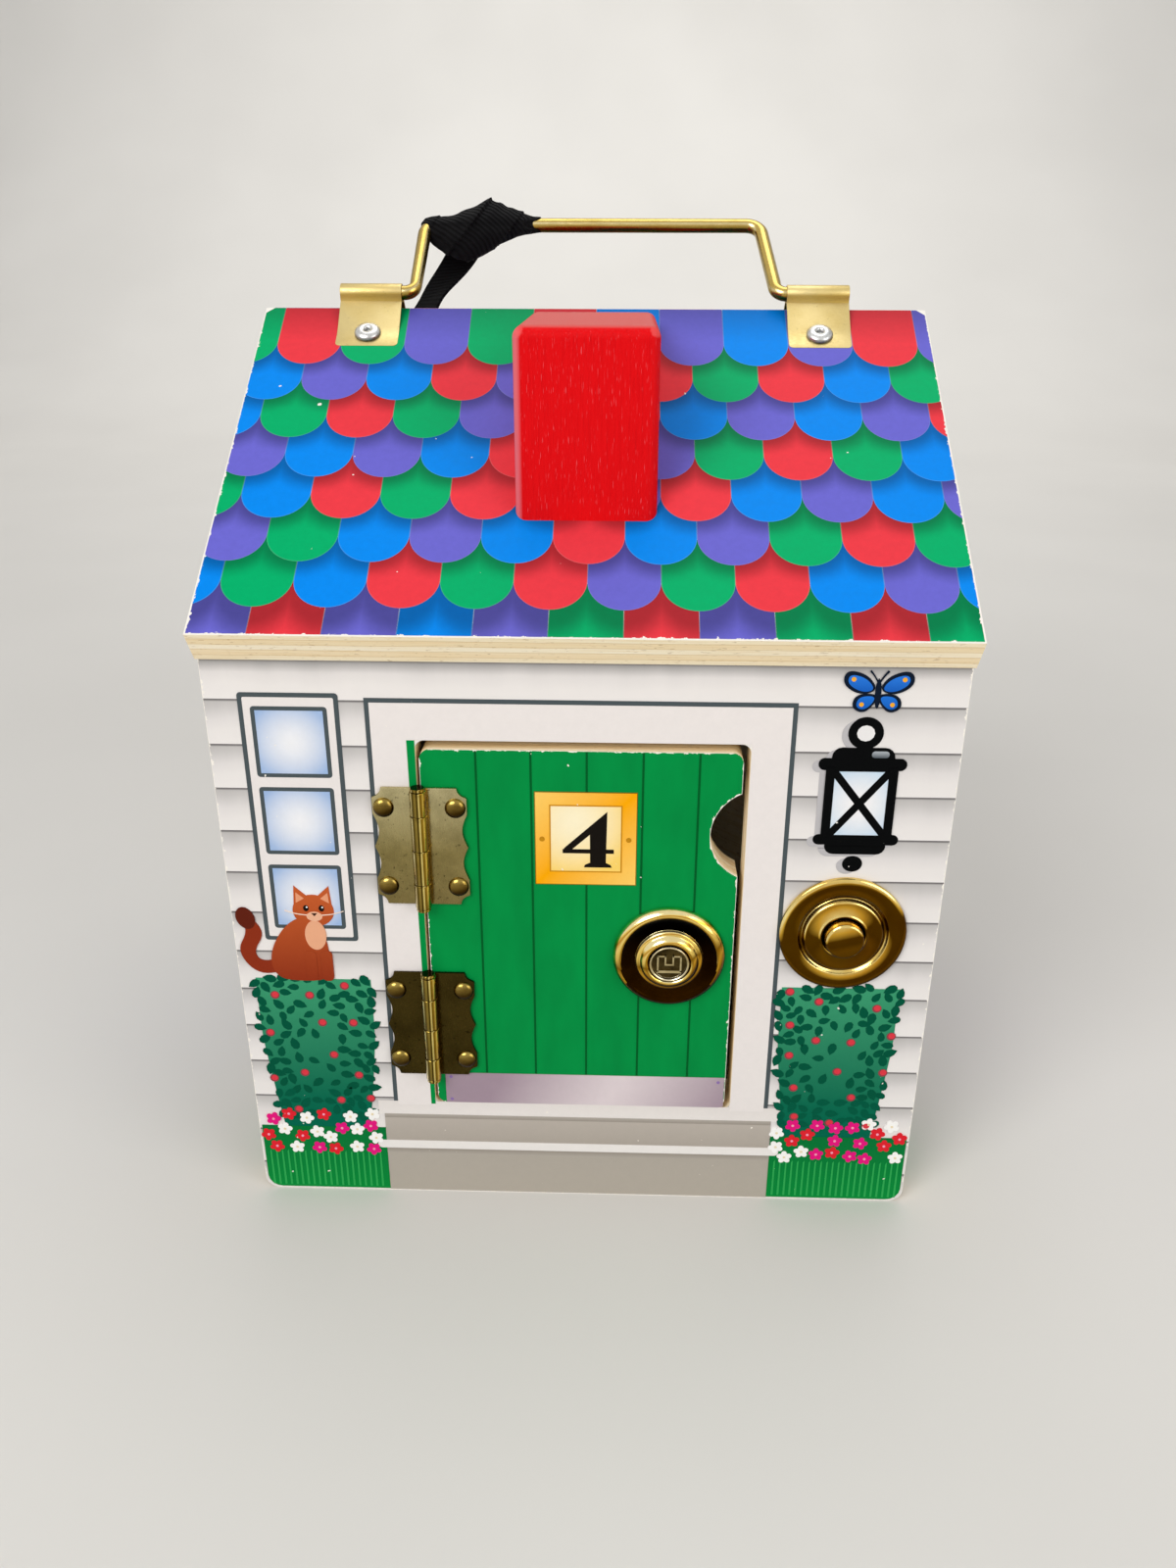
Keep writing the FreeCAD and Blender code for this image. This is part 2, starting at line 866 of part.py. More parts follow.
def make_lock_case(side):
    body = doc.addObject("PartDesign::Body", f"{side}_lock_case")
    section = sketch_on(body, "XY_Plane", f"{side}_case_section")
    rim, dish = cell("lock_rim"), cell("lock_dish")
    rim_height, boss = cell("lock_rim_height"), cell("lock_boss")
    barrel, width = cell("barrel_radius"), cell("lock_rim_width")
    bevel = cell("small_bevel")
    draw_outline(
        section,
        [
            (plug_bore, -cell("lock_boss_height")),
            (boss - bevel, -cell("lock_boss_height")),
            (boss, bevel - cell("lock_boss_height")),
            (boss, -dish),
            (rim - width, -dish),
            (rim - width * 0.55, -rim_height),
            (rim - width * 0.2, -rim_height),
            (rim, bevel - rim_height),
            (rim, 0),
            (barrel, 0),
            (barrel, case_back),
            (plug_bore, case_back),
        ],
    )
    revolve(body, section)
    return side_turned(body, side, lock_across, 0, lock_height)


def make_lock_plug(side):
    """The turning plug, with the key's slot in front and a neck for the cam behind."""
    face = -cell("lock_boss_height") - cell("plug_proud")
    radius, neck = cell("plug_radius"), cell("neck_radius")
    long = case_back - face
    across, level = lock_across, lock_height
    name = f"{side}_plug"
    drum = rod(f"{name}_drum", radius, long, across, face, level, INWARD)
    stub = rod(f"{name}_neck", neck, cell("cam_thickness"), across, case_back, level, INWARD)
    width, height = cell("keyway_width"), cell("keyway_height")
    depth = cell("keyway_depth")
    slot = box(
        f"{name}_slot", width, depth, height, across - width / 2, face, level - height / 2
    )
    end = case_back + cell("cam_thickness")
    thread = rod(
        f"{name}_thread",
        cell("screw_radius") + cell("wood_clearance"),
        cell("screw_length") + cell("hole_relief"),
        across,
        end,
        level,
        OUTWARD,
    )
    plug = cut(f"{side}_lock_plug", fuse(f"{name}_blank", drum, stub), slot, thread)
    return side_turned(plug, side)


def make_lock_cam(side):
    """The cam hangs down when the door is unlocked. A screw holds it on the plug's neck."""
    body = doc.addObject("PartDesign::Body", f"{side}_cam_plate")
    outline = sketch_on(body, "XZ_Plane", f"{side}_cam_outline", -case_back)
    hub, tip, reach = cell("cam_hub"), cell("cam_tip"), cell("cam_length")
    draw_outline(
        outline,
        [
            (-tip, -reach - tip * 0.4),
            (-tip * 0.4, -reach - tip),
            (tip * 0.4, -reach - tip),
            (tip, -reach - tip * 0.4),
            (tip, -hub),
            (hub, -hub * 0.4),
            (hub, hub * 0.4),
            (hub * 0.4, hub),
            (-hub * 0.4, hub),
            (-hub, hub * 0.4),
            (-hub, -hub * 0.4),
            (-tip, -hub),
        ],
    )
    draw_circle(outline, 0, 0, cell("neck_radius") + cell("wood_clearance"))
    pad(body, outline, cell("cam_thickness"), True)
    back = case_back + cell("cam_thickness")
    head = rod(
        f"{side}_screw_head", cell("screw_head"), cell("screw_head_height"), 0, back, 0, INWARD
    )
    shank = rod(
        f"{side}_screw_shank", cell("screw_radius"), cell("screw_length"), 0, back, 0, OUTWARD
    )
    cam = together(f"{side}_lock_cam", body, fuse(f"{side}_cam_screw", head, shank))
    return side_turned(cam, side, lock_across, 0, lock_height)


# Doorbells. A stepped brass plate with a barrel through the wall holds the button,
# and the switch sits in the barrel's back end.
bell_bore = cell("bell_barrel") - cell("bell_wall")
button_bore = cell("button_radius") + cell("button_clearance")
lip_back = cell("bell_lip")
button_back = lip_back + cell("button_clearance") + cell("button_flange")
switch_front = button_back + cell("button_travel") + cell("switch_room")
stem_end = switch_front + cell("stem_enter")


def make_bell_plate(side):
    body = doc.addObject("PartDesign::Body", f"{side}_bell_plate")
    section = sketch_on(body, "XY_Plane", f"{side}_bell_section")
    rim, flange = cell("bell_rim"), cell("bell_flange")
    step, step_height = cell("bell_step"), cell("bell_step_height")
    bevel = cell("small_bevel")
    draw_outline(
        section,
        [
            (button_bore, -step_height),
            (step - bevel, -step_height),
            (step, bevel - step_height),
            (step, -flange),
            (rim - bevel, -flange),
            (rim, bevel - flange),
            (rim, 0),
            (cell("bell_barrel"), 0),
            (cell("bell_barrel"), ply),
            (bell_bore, ply),
            (bell_bore, lip_back),
            (button_bore, lip_back),
        ],
    )
    revolve(body, section)
    return side_turned(body, side, bell_across, 0, bell_height)


def make_bell_button(side):
    """The push: a plain drum with a flange behind the lip and a stem into the switch."""
    body = doc.addObject("PartDesign::Body", f"{side}_bell_button")
    section = sketch_on(body, "XY_Plane", f"{side}_button_section")
    radius = cell("button_radius")
    front = -cell("button_proud")
    flange = bell_bore - cell("button_clearance")
    flange_front = lip_back + cell("button_clearance")
    stem, bevel = cell("button_stem"), cell("small_bevel")
    draw_outline(
        section,
        [
            (0, front),
            (radius - bevel, front),
            (radius, front + bevel),
            (radius, flange_front),
            (flange, flange_front),
            (flange, button_back),
            (stem, button_back),
            (stem, stem_end),
            (0, stem_end),
        ],
    )
    revolve(body, section)
    return side_turned(body, side, bell_across, 0, bell_height)


def make_bell_switch(side):
    body = doc.addObject("PartDesign::Body", f"{side}_bell_switch")
    section = sketch_on(body, "XY_Plane", f"{side}_switch_section")
    outer = bell_bore - cell("wood_clearance")
    bore_end = ply - cell("switch_floor")
    draw_outline(
        section,
        [
            (cell("switch_bore"), switch_front),
            (outer, switch_front),
            (outer, ply),
            (0, ply),
            (0, bore_end),
            (cell("switch_bore"), bore_end),
        ],
    )
    revolve(body, section)
    return side_turned(body, side, bell_across, 0, bell_height)


def make_bell_wires():
    """A twin lead from each switch, down inside the wall and across to the sound board."""
    across, level = wire_across.number, bell_height.number
    start, run = ply.number, wire_y.number
    low = (floor_low - cell("wire_drop")).number
    board_y = -cell("board_front").number
    reach_x = (cell("board_length") / 2 - cell("wire_inset")).number
    reach_y = (cell("board_depth") / 2 - cell("wire_inset")).number
    board_top = (thin_ply + cell("board_lift") + cell("board_thickness")).number
    ends = {
        "front": (reach_x, board_y - reach_y),
        "right": (reach_x, board_y + reach_y),
        "back": (-reach_x, board_y + reach_y),
        "left": (-reach_x, board_y - reach_y),
    }
    wires = []
    for side, (end_x, end_y) in ends.items():
        face = (half_depth if side in ("front", "back") else half_width).number
        turn = side_rotation(side)
        route = [
            turn.multVec(Vector(across, start - face, level)),
            turn.multVec(Vector(across, run - face, level)),
            turn.multVec(Vector(across, run - face, low)),
            Vector(end_x, end_y, low),
            Vector(end_x, end_y, board_top),
        ]
        bend = cell("wire_bend").number
        wires.append(tube(route, [bend, bend, bend], cell("wire_radius").number))
    return shaped("bell_wires", Part.makeCompound(wires))


# Handle: brass wire bent to a flat bow, whose feet turn in sheet brackets over the ridge.
pivot_height = ridge_height + cell("bracket_rise")
barrel_bore = cell("handle_wire") + cell("handle_clearance")
barrel_outer = barrel_bore + cell("bracket_sheet")


def make_bracket(name, left):
    """A strip of sheet folded over the ridge and rolled round the handle's foot."""
    sheet_thick = cell("bracket_sheet")
    pitch = cell("roof_angle")
    reach = cell("bracket_flap") * trig("cos", pitch)
    lift = sheet_thick / trig("cos", pitch)
    foot = ridge_height - reach * slope
    strip = doc.addObject("PartDesign::Body", f"{name}_strip")
    profile = sketch_on(strip, "YZ_Plane", f"{name}_profile")
    draw_outline(
        profile,
        [
            (-reach, foot),
            (0, ridge_height),
            (reach, foot),
            (reach, foot + lift),
            (barrel_outer, roof_over(barrel_outer) + lift),
            (barrel_outer * 0.8, pivot_height - barrel_outer * 0.4),
            (-barrel_outer * 0.8, pivot_height - barrel_outer * 0.4),
            (-barrel_outer, roof_over(barrel_outer) + lift),
            (-reach, foot + lift),
        ],
    )
    pad(strip, profile, cell("bracket_width"))
    put(strip, left, 0, 0)
    along = Vector(1, 0, 0)
    width = cell("bracket_width")
    barrel = rod(f"{name}_barrel", barrel_outer, width, left, 0, pivot_height, along)
    bore = rod(f"{name}_bore", barrel_bore, width, left, 0, pivot_height, along)
    holes = []
    for sign in (-1, 1):
        holes.append(bracket_hole(f"{name}_hole_{sign + 1}", left + width / 2, sign))
    return cut(name, fuse(f"{name}_blank", strip, barrel), bore, *holes)


def slope_point(across, down, up, sign=1):
    """A place on the roof: across, down the slope from the ridge, and out from its face."""
    pitch = cell("roof_angle")
    sine, cosine = trig("sin", pitch), trig("cos", pitch)
    y = down * cosine + up * sine
    z = ridge_height - down * sine + up * cosine
    return size(across), sign * y, z


def roof_normal(sign):
    pitch = math.radians(cell("roof_angle").number)
    return Vector(0, sign * math.sin(pitch), math.cos(pitch))


def bracket_hole(name, across, sign):
    place = slope_point(across, cell("bracket_rivet"), -cell("bracket_sheet"), sign)
    radius = cell("rivet_shank") + cell("wood_clearance")
    return rod(name, radius, 3 * cell("bracket_sheet"), *place, roof_normal(sign))


def make_bracket_rivet(name, across, sign):
    """A flat round rivet that holds a bracket's flap on the roof."""
    head = cell("bracket_rivet_head")
    dome = cell("bracket_rivet_dome")
    down = cell("bracket_rivet")
    under = cell("bracket_sheet")
    normal = roof_normal(sign)
    low = doc.addObject("Part::Cone", f"{name}_head")
    tie(low, "Radius1", head)
    tie(low, "Radius2", head * 0.6)
    tie(low, "Height", dome)
    low.Placement = Placement(Vector(), Rotation(Vector(0, 0, 1), normal))
    put(low, *slope_point(across, down, under, sign))
    shank = rod(
        f"{name}_shank",
        cell("rivet_shank"),
        cell("rivet_length") + under,
        *slope_point(across, down, under - cell("rivet_length") - under, sign),
        normal,
    )
    return fuse(name, low, shank)


def cut_roof_holes(board, sign):
    """The holes for the brackets' rivets in a roof board."""
    name = board.Name
    board.Label = f"{name}_blank"
    depth = cell("rivet_length") + cell("hole_relief")
    holes = []
    for side in (-1, 1):
        across = side * (cell("bracket_inner") + cell("bracket_width") / 2)
        place = slope_point(across, cell("bracket_rivet"), -depth, sign)
        radius = cell("rivet_shank") + cell("wood_clearance")
        holes.append(rod(f"{name}_hole_{side + 1}", radius, depth, *place, roof_normal(sign)))
    return cut(f"{name}_bored", board, *holes)


def handle_point(across, up):
    """A point of the handle's flat bow, leaned back about its feet."""
    lean = math.radians(cell("lean_angle").number)
    return Vector(across, up * math.sin(lean), pivot_height.number + up * math.cos(lean))


def make_handle():
    foot = cell("handle_foot").number
    half, rise = cell("handle_half").number, cell("handle_rise").number
    end = (cell("bracket_inner") + cell("bracket_width") - cell("foot_inset")).number
    route = [
        handle_point(-end, 0),
        handle_point(-foot, 0),
        handle_point(-half, rise),
        handle_point(half, rise),
        handle_point(foot, 0),
        handle_point(end, 0),
    ]
    foot_bend, top_bend = cell("foot_bend").number, cell("handle_bend").number
    bends = [foot_bend, top_bend, top_bend, foot_bend]
    return shaped("handle", tube(route, bends, cell("handle_wire").number))


# Strap: one ribbon of webbing wound round the handle's left end, whose tail goes down
# behind the ridge to the key ring.
def ribbon(stations, width, thickness):
    """A flat ribbon through stations, each a middle point and the direction across its face."""
    sections = []
    for middle, normal, side in stations:
        across = side * (width / 2)
        out = normal * (thickness / 2)
        around = [across + out, out - across, across * -1 - out, across - out]
        sections.append(Part.makePolygon([middle + v for v in around + around[:1]]))
    return Part.makeLoft(sections, True, True)


def winding_middle(turn):
    """The ribbon's middle after some turns: its place along the bar and its distance from it."""
    left, right = cell("strap_left").number, cell("strap_right").number
    turns = cell("strap_turns").number
    thick, gap = cell("strap_thickness").number, cell("strap_gap").number
    radius = cell("handle_wire").number + gap + thick / 2 + turn * (thick + gap)
    back = turns - 0.6
    if turn < back:
        across = -left + (left - right) * turn / back
    else:
        across = -right - (left - right) * 0.75 * (turn - back) / (turns - back)
    return across, radius


def winding_station(turn):
    across, radius = winding_middle(turn)
    angle = 2 * math.pi * (turn - cell("strap_turns").number) + math.pi / 2
    normal = Vector(0, math.sin(angle), math.cos(angle))
    return handle_point(across, cell("handle_rise").number) + normal * radius, normal


def make_strap():
    width = cell("strap_width").number
    thick = cell("strap_thickness").number
    turns = cell("strap_turns").number
    along = Vector(1, 0, 0)
    steps = 16
    count = round(turns * steps)
    wound = [winding_station(turns * number / count) for number in range(count + 1)]
    winding = ribbon([(place, normal, along) for place, normal in wound], width, thick)
    least = min(
        winding_middle(turns * (number + steps) / count)[1]
        - winding_middle(turns * number / count)[1]
        - thick
        for number in range(count + 1 - steps)
    )
    print("least gap in the winding", round(least * math.cos(math.pi / steps), 3))
    start, start_normal = wound[-1]
    pitch = math.radians(cell("roof_angle").number)
    down = Vector(0, math.cos(pitch), -math.sin(pitch))
    out = Vector(0, math.sin(pitch), math.cos(pitch))
    wire = ring_centre() - down * cell("ring_radius").number
    gap = (cell("ring_wire") + cell("ring_clearance")).number + thick / 2
    over = wire + out * gap
    lower = wire - out * gap
    knee = over - down * cell("strap_knee").number + out * cell("knee_lift").number
    slant, bow = cell("hang_slant").number, cell("hang_bow").number
    drop = cell("hang_drop").number
    tail = [(start, start_normal, along)]
    for part in (0.34, 0.67, 1.0):
        step = Vector(-slant * part, bow * part * part, -drop * part)
        tail.append((start + step, Vector(0, 1, 0), along))
    middle = (tail[-1][0] + knee) * 0.5 + Vector(0, thick / 2, 0)
    tail.append((middle, Vector(0, 0.93, 0.37), along))
    tail.append((knee, Vector(0, 0.75, 0.66), along))
    tail.append((over, out, along))
    centre = wire + down * cell("strap_fold").number
    for number in range(7):
        angle = math.pi * number / 6
        normal = out * math.cos(angle) + down * math.sin(angle)
        tail.append((centre + normal * gap, normal, along))
    tail.append((lower, out * -1, along))
    tail.append((lower - down * cell("strap_hem").number, out * -1, along))
    long = sum((b[0] - a[0]).Length for a, b in zip(tail, tail[1:]))
    print("strap tail length", round(long, 1))
    return [shaped("strap_winding", winding), shaped("strap_tail", ribbon(tail, width, thick))]


def roof_placement(across, down, up):
    """A frame on the back roof: x across, y down the slope and z out from it."""
    pitch = cell("roof_angle").number
    x, y, z = slope_point(across, size(down), size(up))
    tilt = Rotation(Vector(1, 0, 0), -pitch)
    return Placement(Vector(x.number, y.number, z.number), tilt)


def ring_centre():
    return roof_placement(-cell("ring_across"), cell("ring_down"), cell("ring_lift")).Base


def make_key_ring():
    ring = doc.addObject("Part::Torus", "key_ring")
    tie(ring, "Radius1", cell("ring_radius"))
    tie(ring, "Radius2", cell("ring_wire"))
    ring.Placement = roof_placement(-cell("ring_across"), cell("ring_down"), cell("ring_lift"))
    return put(ring, *slope_point(-cell("ring_across"), cell("ring_down"), cell("ring_lift")))


def make_key(number):
    """A flat key: a round bow with an eye, a blade, and its own pattern of bits."""
    name = f"key_{number}"
    thick, blade = cell("key_thickness"), cell("key_blade")
    offset, reach = cell("key_eye_offset"), cell("key_reach")
    bow = rod(f"{name}_bow", cell("key_bow"), thick, 0, offset, -thick / 2)
    shank = box(f"{name}_shank", blade * 0.6, reach - offset, thick, -blade / 2, offset, -thick / 2)
    bits = []
    for place in range(3):
        if place == number % 4:
            continue
        bits.append(
            box(
                f"{name}_bit_{place}",
                blade * 0.4,
                cell("key_bit"),
                thick,
                blade * 0.1,
                reach - cell("bit_end") - place * cell("bit_step"),
                -thick / 2,
            )
        )
    eye = rod(f"{name}_eye", cell("key_eye"), thick, 0, 0, -thick / 2)
    key = cut(name, fuse(f"{name}_blank", bow, shank, *bits), eye)
    fan = cell("fan_angle").number * (number - 2.5)
    frame = roof_placement(-cell("ring_across"), cell("ring_down"), cell("ring_lift"))
    spread = Placement(Vector(), Rotation(Vector(0, 0, 1), fan))
    hang = Placement(Vector(0, cell("ring_radius").number, 0), Rotation())
    tilt = Placement(Vector(), Rotation(Vector(0, 1, 0), cell("tilt_angle").number))
    key.Placement = frame.multiply(spread).multiply(hang).multiply(tilt)
    return key


# Sound unit: a battery box let into the base, the sound board on posts and a speaker.
def make_battery_box():
    wall, flange = cell("box_wall"), cell("box_flange")
    left, near = -box_length / 2, box_back - box_depth / 2
    shell = box("battery_shell", box_length, box_depth, box_top - box_low, left, near, box_low)
    rim = box(
        "battery_rim",
        box_length + 2 * flange,
        box_depth + 2 * flange,
        wall,
        left - flange,
        near - flange,
        thin_ply,
    )
    hollow = box(
        "battery_hollow",
        box_length - 2 * wall,
        box_depth - 2 * wall,
        box_top - wall - box_low,
        left + wall,
        near + wall,
        box_low,
    )
    post = box(
        "battery_post",
        cell("screw_post"),
        cell("screw_post"),
        box_top - wall - box_low,
        post_across - cell("screw_post") / 2,
        box_back - cell("screw_post") / 2,
        box_low,
    )
    depth = cell("cover_screw") - cell("cover_thickness") + cell("hole_relief")
    radius = cell("screw_radius") + cell("wood_clearance")
    pilot = rod("battery_pilot", radius, depth, post_across, box_back, box_low)
    tray = cut("battery_tray", fuse("battery_blank", shell, rim), hollow)
    return cut("battery_box", fuse("battery_inside", tray, post), pilot)


post_across = box_length / 2 - cell("box_wall") - cell("screw_post") / 2


def make_battery_cover():
    """The hatch's cover, with a sunk hole for its screw."""
    thick, lift = cell("cover_thickness"), cell("cover_lift")
    left, near = -box_length / 2, box_back - box_depth / 2
    plate = box("cover_plate", box_length, box_depth, thick, left, near, lift)
    sink_radius = cell("cover_head") + cell("hole_relief")
    sink = rod("cover_sink", sink_radius, thick * 0.6, post_across, box_back, lift)
    hole_radius = cell("screw_radius") + cell("hole_relief")
    hole = rod("cover_hole", hole_radius, thick, post_across, box_back, lift)
    return cut("battery_cover", plate, sink, hole)


def make_cover_screw():
    lift, thick = cell("cover_lift"), cell("cover_thickness")
    head = rod("cover_screw_head", cell("cover_head"), thick * 0.6, post_across, box_back, lift)
    shank = rod(
        "cover_screw_shank", cell("screw_radius"), cell("cover_screw"), post_across, box_back, lift
    )
    return fuse("cover_screw", head, shank)


def make_batteries():
    radius, nub = cell("battery_radius"), cell("nub_length")
    level = box_low + radius + cell("battery_rest")
    left = cell("box_wall") + cell("contact_room") - box_length / 2
    long = cell("battery_length") - nub
    step = 2 * radius + cell("battery_gap")
    along = Vector(1, 0, 0)
    cells_made = []
    for number in (-1, 0, 1):
        y = box_back + number * step
        can = rod(f"can_{number + 1}", radius, long, left, y, level, along)
        tip = rod(f"nub_{number + 1}", cell("battery_nub"), nub, left + long, y, level, along)
        cells_made.append(fuse(f"battery_{number + 1}", can, tip))
    return together("batteries", *cells_made)


def make_sound_board():
    """The circuit board on four posts, with its chip and its capacitor."""
    length, depth = cell("board_length"), cell("board_depth")
    low = thin_ply + cell("board_lift")
    thick = cell("board_thickness")
    top = low + thick
    front = -cell("board_front")
    chip = cell("chip_size")
    pieces = [box("board_plate", length, depth, thick, -length / 2, front - depth / 2, low)]
    for number, (sx, sy) in enumerate(((-1, -1), (1, -1), (1, 1), (-1, 1))):
        x = sx * (length / 2 - cell("post_inset"))
        y = front + sy * (depth / 2 - cell("post_edge"))
        radius = cell("post_radius")
        pieces.append(rod(f"board_post_{number}", radius, low - thin_ply, x, y, thin_ply))
    pieces.append(
        box("board_chip", chip, chip, cell("chip_height"), -chip / 2, front - chip / 2, top)
    )
    pieces.append(
        rod(
            "board_capacitor",
            cell("capacitor_radius"),
            cell("capacitor_height"),
            cell("capacitor_across"),
            front,
            top,
        )
    )
    return fuse("sound_board", *pieces)


def make_speaker():
    radius, height = cell("speaker_radius"), cell("speaker_height")
    front = -speaker_front
    basket = rod("speaker_basket", radius, height * 0.35, 0, front, thin_ply)
    cone = doc.addObject("Part::Cone", "speaker_back")
    tie(cone, "Radius1", radius * 0.9)
    tie(cone, "Radius2", radius * 0.55)
    tie(cone, "Height", height * 0.35)
    put(cone, 0, front, thin_ply + height * 0.35)
    magnet = rod("speaker_magnet", radius * 0.55, height * 0.3, 0, front, thin_ply + height * 0.7)
    return fuse("speaker", basket, cone, magnet)


parts = {}


def keep(node, piece):
    parts[node] = piece
    return piece


keep("base_board", make_base_board())
keep("floor_board", make_floor_board())
keep("ceiling_board", make_ceiling_board())
for side in ("front", "back"):
    keep(f"wall_{side}", make_long_wall(side))
for side in ("left", "right"):
    keep(f"wall_{side}", make_gable_wall(side))
for board in make_partitions():
    keep(board.Name, board)
keep("roof_front", cut_roof_holes(make_roof_board("front", -1), -1))
keep("roof_back", cut_roof_holes(make_roof_board("back", 1), 1))
keep("chimney", make_chimney())

bracket_left = -cell("bracket_inner") - cell("bracket_width")
keep("bracket_left", make_bracket("bracket_left", bracket_left))
keep("bracket_right", make_bracket("bracket_right", cell("bracket_inner")))
bracket_middle = cell("bracket_inner") + cell("bracket_width") / 2
bracket_rivets = [
    make_bracket_rivet(f"bracket_rivet_{side + 1}_{sign + 1}", side * bracket_middle, sign)
    for side in (-1, 1)
    for sign in (-1, 1)
]
keep("bracket_rivets", together("bracket_rivets", *bracket_rivets))

wall_leaves, wall_rivets, pins = [], [], []
for side in SIDE_FACES:
    keep(f"{side}_door", make_door(side))
    door_leaves = []
    for place, foot in hinge_feet.items():
        name = f"{side}_{place}"
        wall_leaves.append(make_leaf(f"{name}_wall_leaf", side, foot, -1))
        door_leaves.append(make_leaf(f"{name}_door_leaf", side, foot, 1))
        pins.append(make_pin(f"{name}_pin", side, foot))
    inset = cell("rivet_inset")
    for number, level in enumerate(rivet_levels):
        wall_rivets.append(make_rivet(f"{side}_wall_rivet_{number}", side, hinge_x - inset, level))
        door_leaves.append(make_rivet(f"{side}_door_rivet_{number}", side, hinge_x + inset, level))
    keep(f"{side}_hinge_leaves", together(f"{side}_hinge_leaves", *door_leaves))
    keep(f"{side}_lock_case", make_lock_case(side))
    keep(f"{side}_lock_plug", make_lock_plug(side))
    keep(f"{side}_lock_cam", make_lock_cam(side))
    keep(f"{side}_bell_button", make_bell_button(side))
keep("hinge_wall_leaves", together("hinge_wall_leaves", *wall_leaves))
keep("hinge_wall_rivets", together("hinge_wall_rivets", *wall_rivets))
keep("hinge_pins", together("hinge_pins", *pins))
keep("bell_plates", together("bell_plates", *[make_bell_plate(side) for side in SIDE_FACES]))
keep("bell_switches", together("bell_switches", *[make_bell_switch(side) for side in SIDE_FACES]))
keep("bell_wires", make_bell_wires())

keep("handle", make_handle())
for piece in make_strap():
    keep(piece.Name, piece)
keep("key_ring", make_key_ring())
for number in (1, 2, 3, 4):
    keep(f"key_{number}", make_key(number))

keep("battery_box", make_battery_box())
keep("battery_cover", make_battery_cover())
keep("cover_screw", make_cover_screw())
keep("batteries", make_batteries())
keep("sound_board", make_sound_board())
keep("speaker", make_speaker())

doc.recompute()
for feature in doc.Objects:
    if "Invalid" in feature.State or "Error" in feature.State:
        raise RuntimeError(f"{feature.Name} did not build: {feature.State}")
for node, piece in parts.items():
    piece.Label = node
    if piece.Shape.isNull() or not piece.Shape.isValid():
        raise RuntimeError(f"{node} has no sound shape")
    piece.Shape.exportStep(f"parts/{node}.step")
print(len(parts), "sub-parts written")
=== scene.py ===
import itertools
import math
import random

import bmesh
import bpy
from mathutils import Matrix, Vector


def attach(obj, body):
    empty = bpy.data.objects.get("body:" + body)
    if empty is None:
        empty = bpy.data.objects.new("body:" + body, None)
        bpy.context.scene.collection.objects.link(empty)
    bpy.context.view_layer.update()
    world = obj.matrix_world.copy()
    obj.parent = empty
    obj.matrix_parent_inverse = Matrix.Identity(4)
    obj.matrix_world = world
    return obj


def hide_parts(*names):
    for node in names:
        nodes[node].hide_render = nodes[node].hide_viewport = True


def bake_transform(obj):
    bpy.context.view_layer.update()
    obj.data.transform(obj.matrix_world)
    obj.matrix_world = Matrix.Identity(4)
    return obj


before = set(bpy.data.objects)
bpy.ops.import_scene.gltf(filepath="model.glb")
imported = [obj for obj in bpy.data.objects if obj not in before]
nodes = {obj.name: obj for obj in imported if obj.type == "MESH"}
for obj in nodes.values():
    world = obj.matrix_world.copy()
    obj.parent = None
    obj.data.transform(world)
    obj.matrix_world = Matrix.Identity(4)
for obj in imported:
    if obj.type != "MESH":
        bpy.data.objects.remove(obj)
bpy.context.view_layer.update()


# Base board. A 6 mm panel of birch ply glued in between the walls, sanded and left bare, with
# a hatch for the battery box and drilled holes over the speaker.
def linear(code):
    """An sRGB hex colour as linear light."""
    parts = [int(code[i : i + 2], 16) / 255 for i in (1, 3, 5)]
    return [p / 12.92 if p < 0.04045 else ((p + 0.055) / 1.055) ** 2.4 for p in parts] + [1.0]


def finish(name):
    """A new finish, and the function that adds nodes to it."""
    made = bpy.data.materials.new(name)
    made.use_nodes = True
    return made, adder(made.node_tree)


def adder(tree):
    """Empties a node tree and returns the function that adds its nodes."""
    tree.nodes.clear()

    def add(kind, *values, stops=None, **named):
        """Adds a node. Its sockets take their values from the top down, or by name: a number, a
        hex colour, a node or one of its outputs. Any other name is a setting of the node."""
        kind, _, work = kind.partition(" ")
        made = tree.nodes.new("ShaderNode" + kind)
        if kind == "Mix" and work:
            made.data_type, made.blend_type = "RGBA", work
        elif work:
            made.operation = work
        known = {socket.name.lower().replace(" ", "_") for socket in made.inputs}
        for name in [name for name in named if name not in known]:
            setattr(made, name, named.pop(name))
        if stops:
            ramp = made.color_ramp
            ramp.elements[0].position, ramp.elements[1].position = stops[0][0], stops[-1][0]
            for place, _ in stops[1:-1]:
                ramp.elements.new(place)
            for element, (_, code) in zip(ramp.elements, stops):
                element.color = linear(code)
        sockets = [socket for socket in made.inputs if socket.enabled]
        by_name = {socket.name.lower().replace(" ", "_"): socket for socket in reversed(sockets)}
        filled = [*zip(sockets, values), *((by_name[name], value) for name, value in named.items())]
        for socket, value in filled:
            if isinstance(value, bpy.types.Node):
                value = next(output for output in value.outputs if output.enabled)
            if isinstance(value, bpy.types.NodeSocket):
                tree.links.new(value, socket)
            else:
                socket.default_value = linear(value) if isinstance(value, str) else value
        return made

    return add


def board_place(add, tilt=0, side=0, lift=0.0, slide=0.0):
    """Millimetres on a board: x along it, y across it and z through its thickness."""
    turn = Matrix.Rotation(math.radians(tilt), 3, "X") @ Matrix.Rotation(math.radians(-side), 3, "Z")
    here = add("TexCoord").outputs["Object"]
    return add("Mapping", here, (0.0, slide, lift), turn.to_euler(), (1000.0, 1000.0, 1000.0))


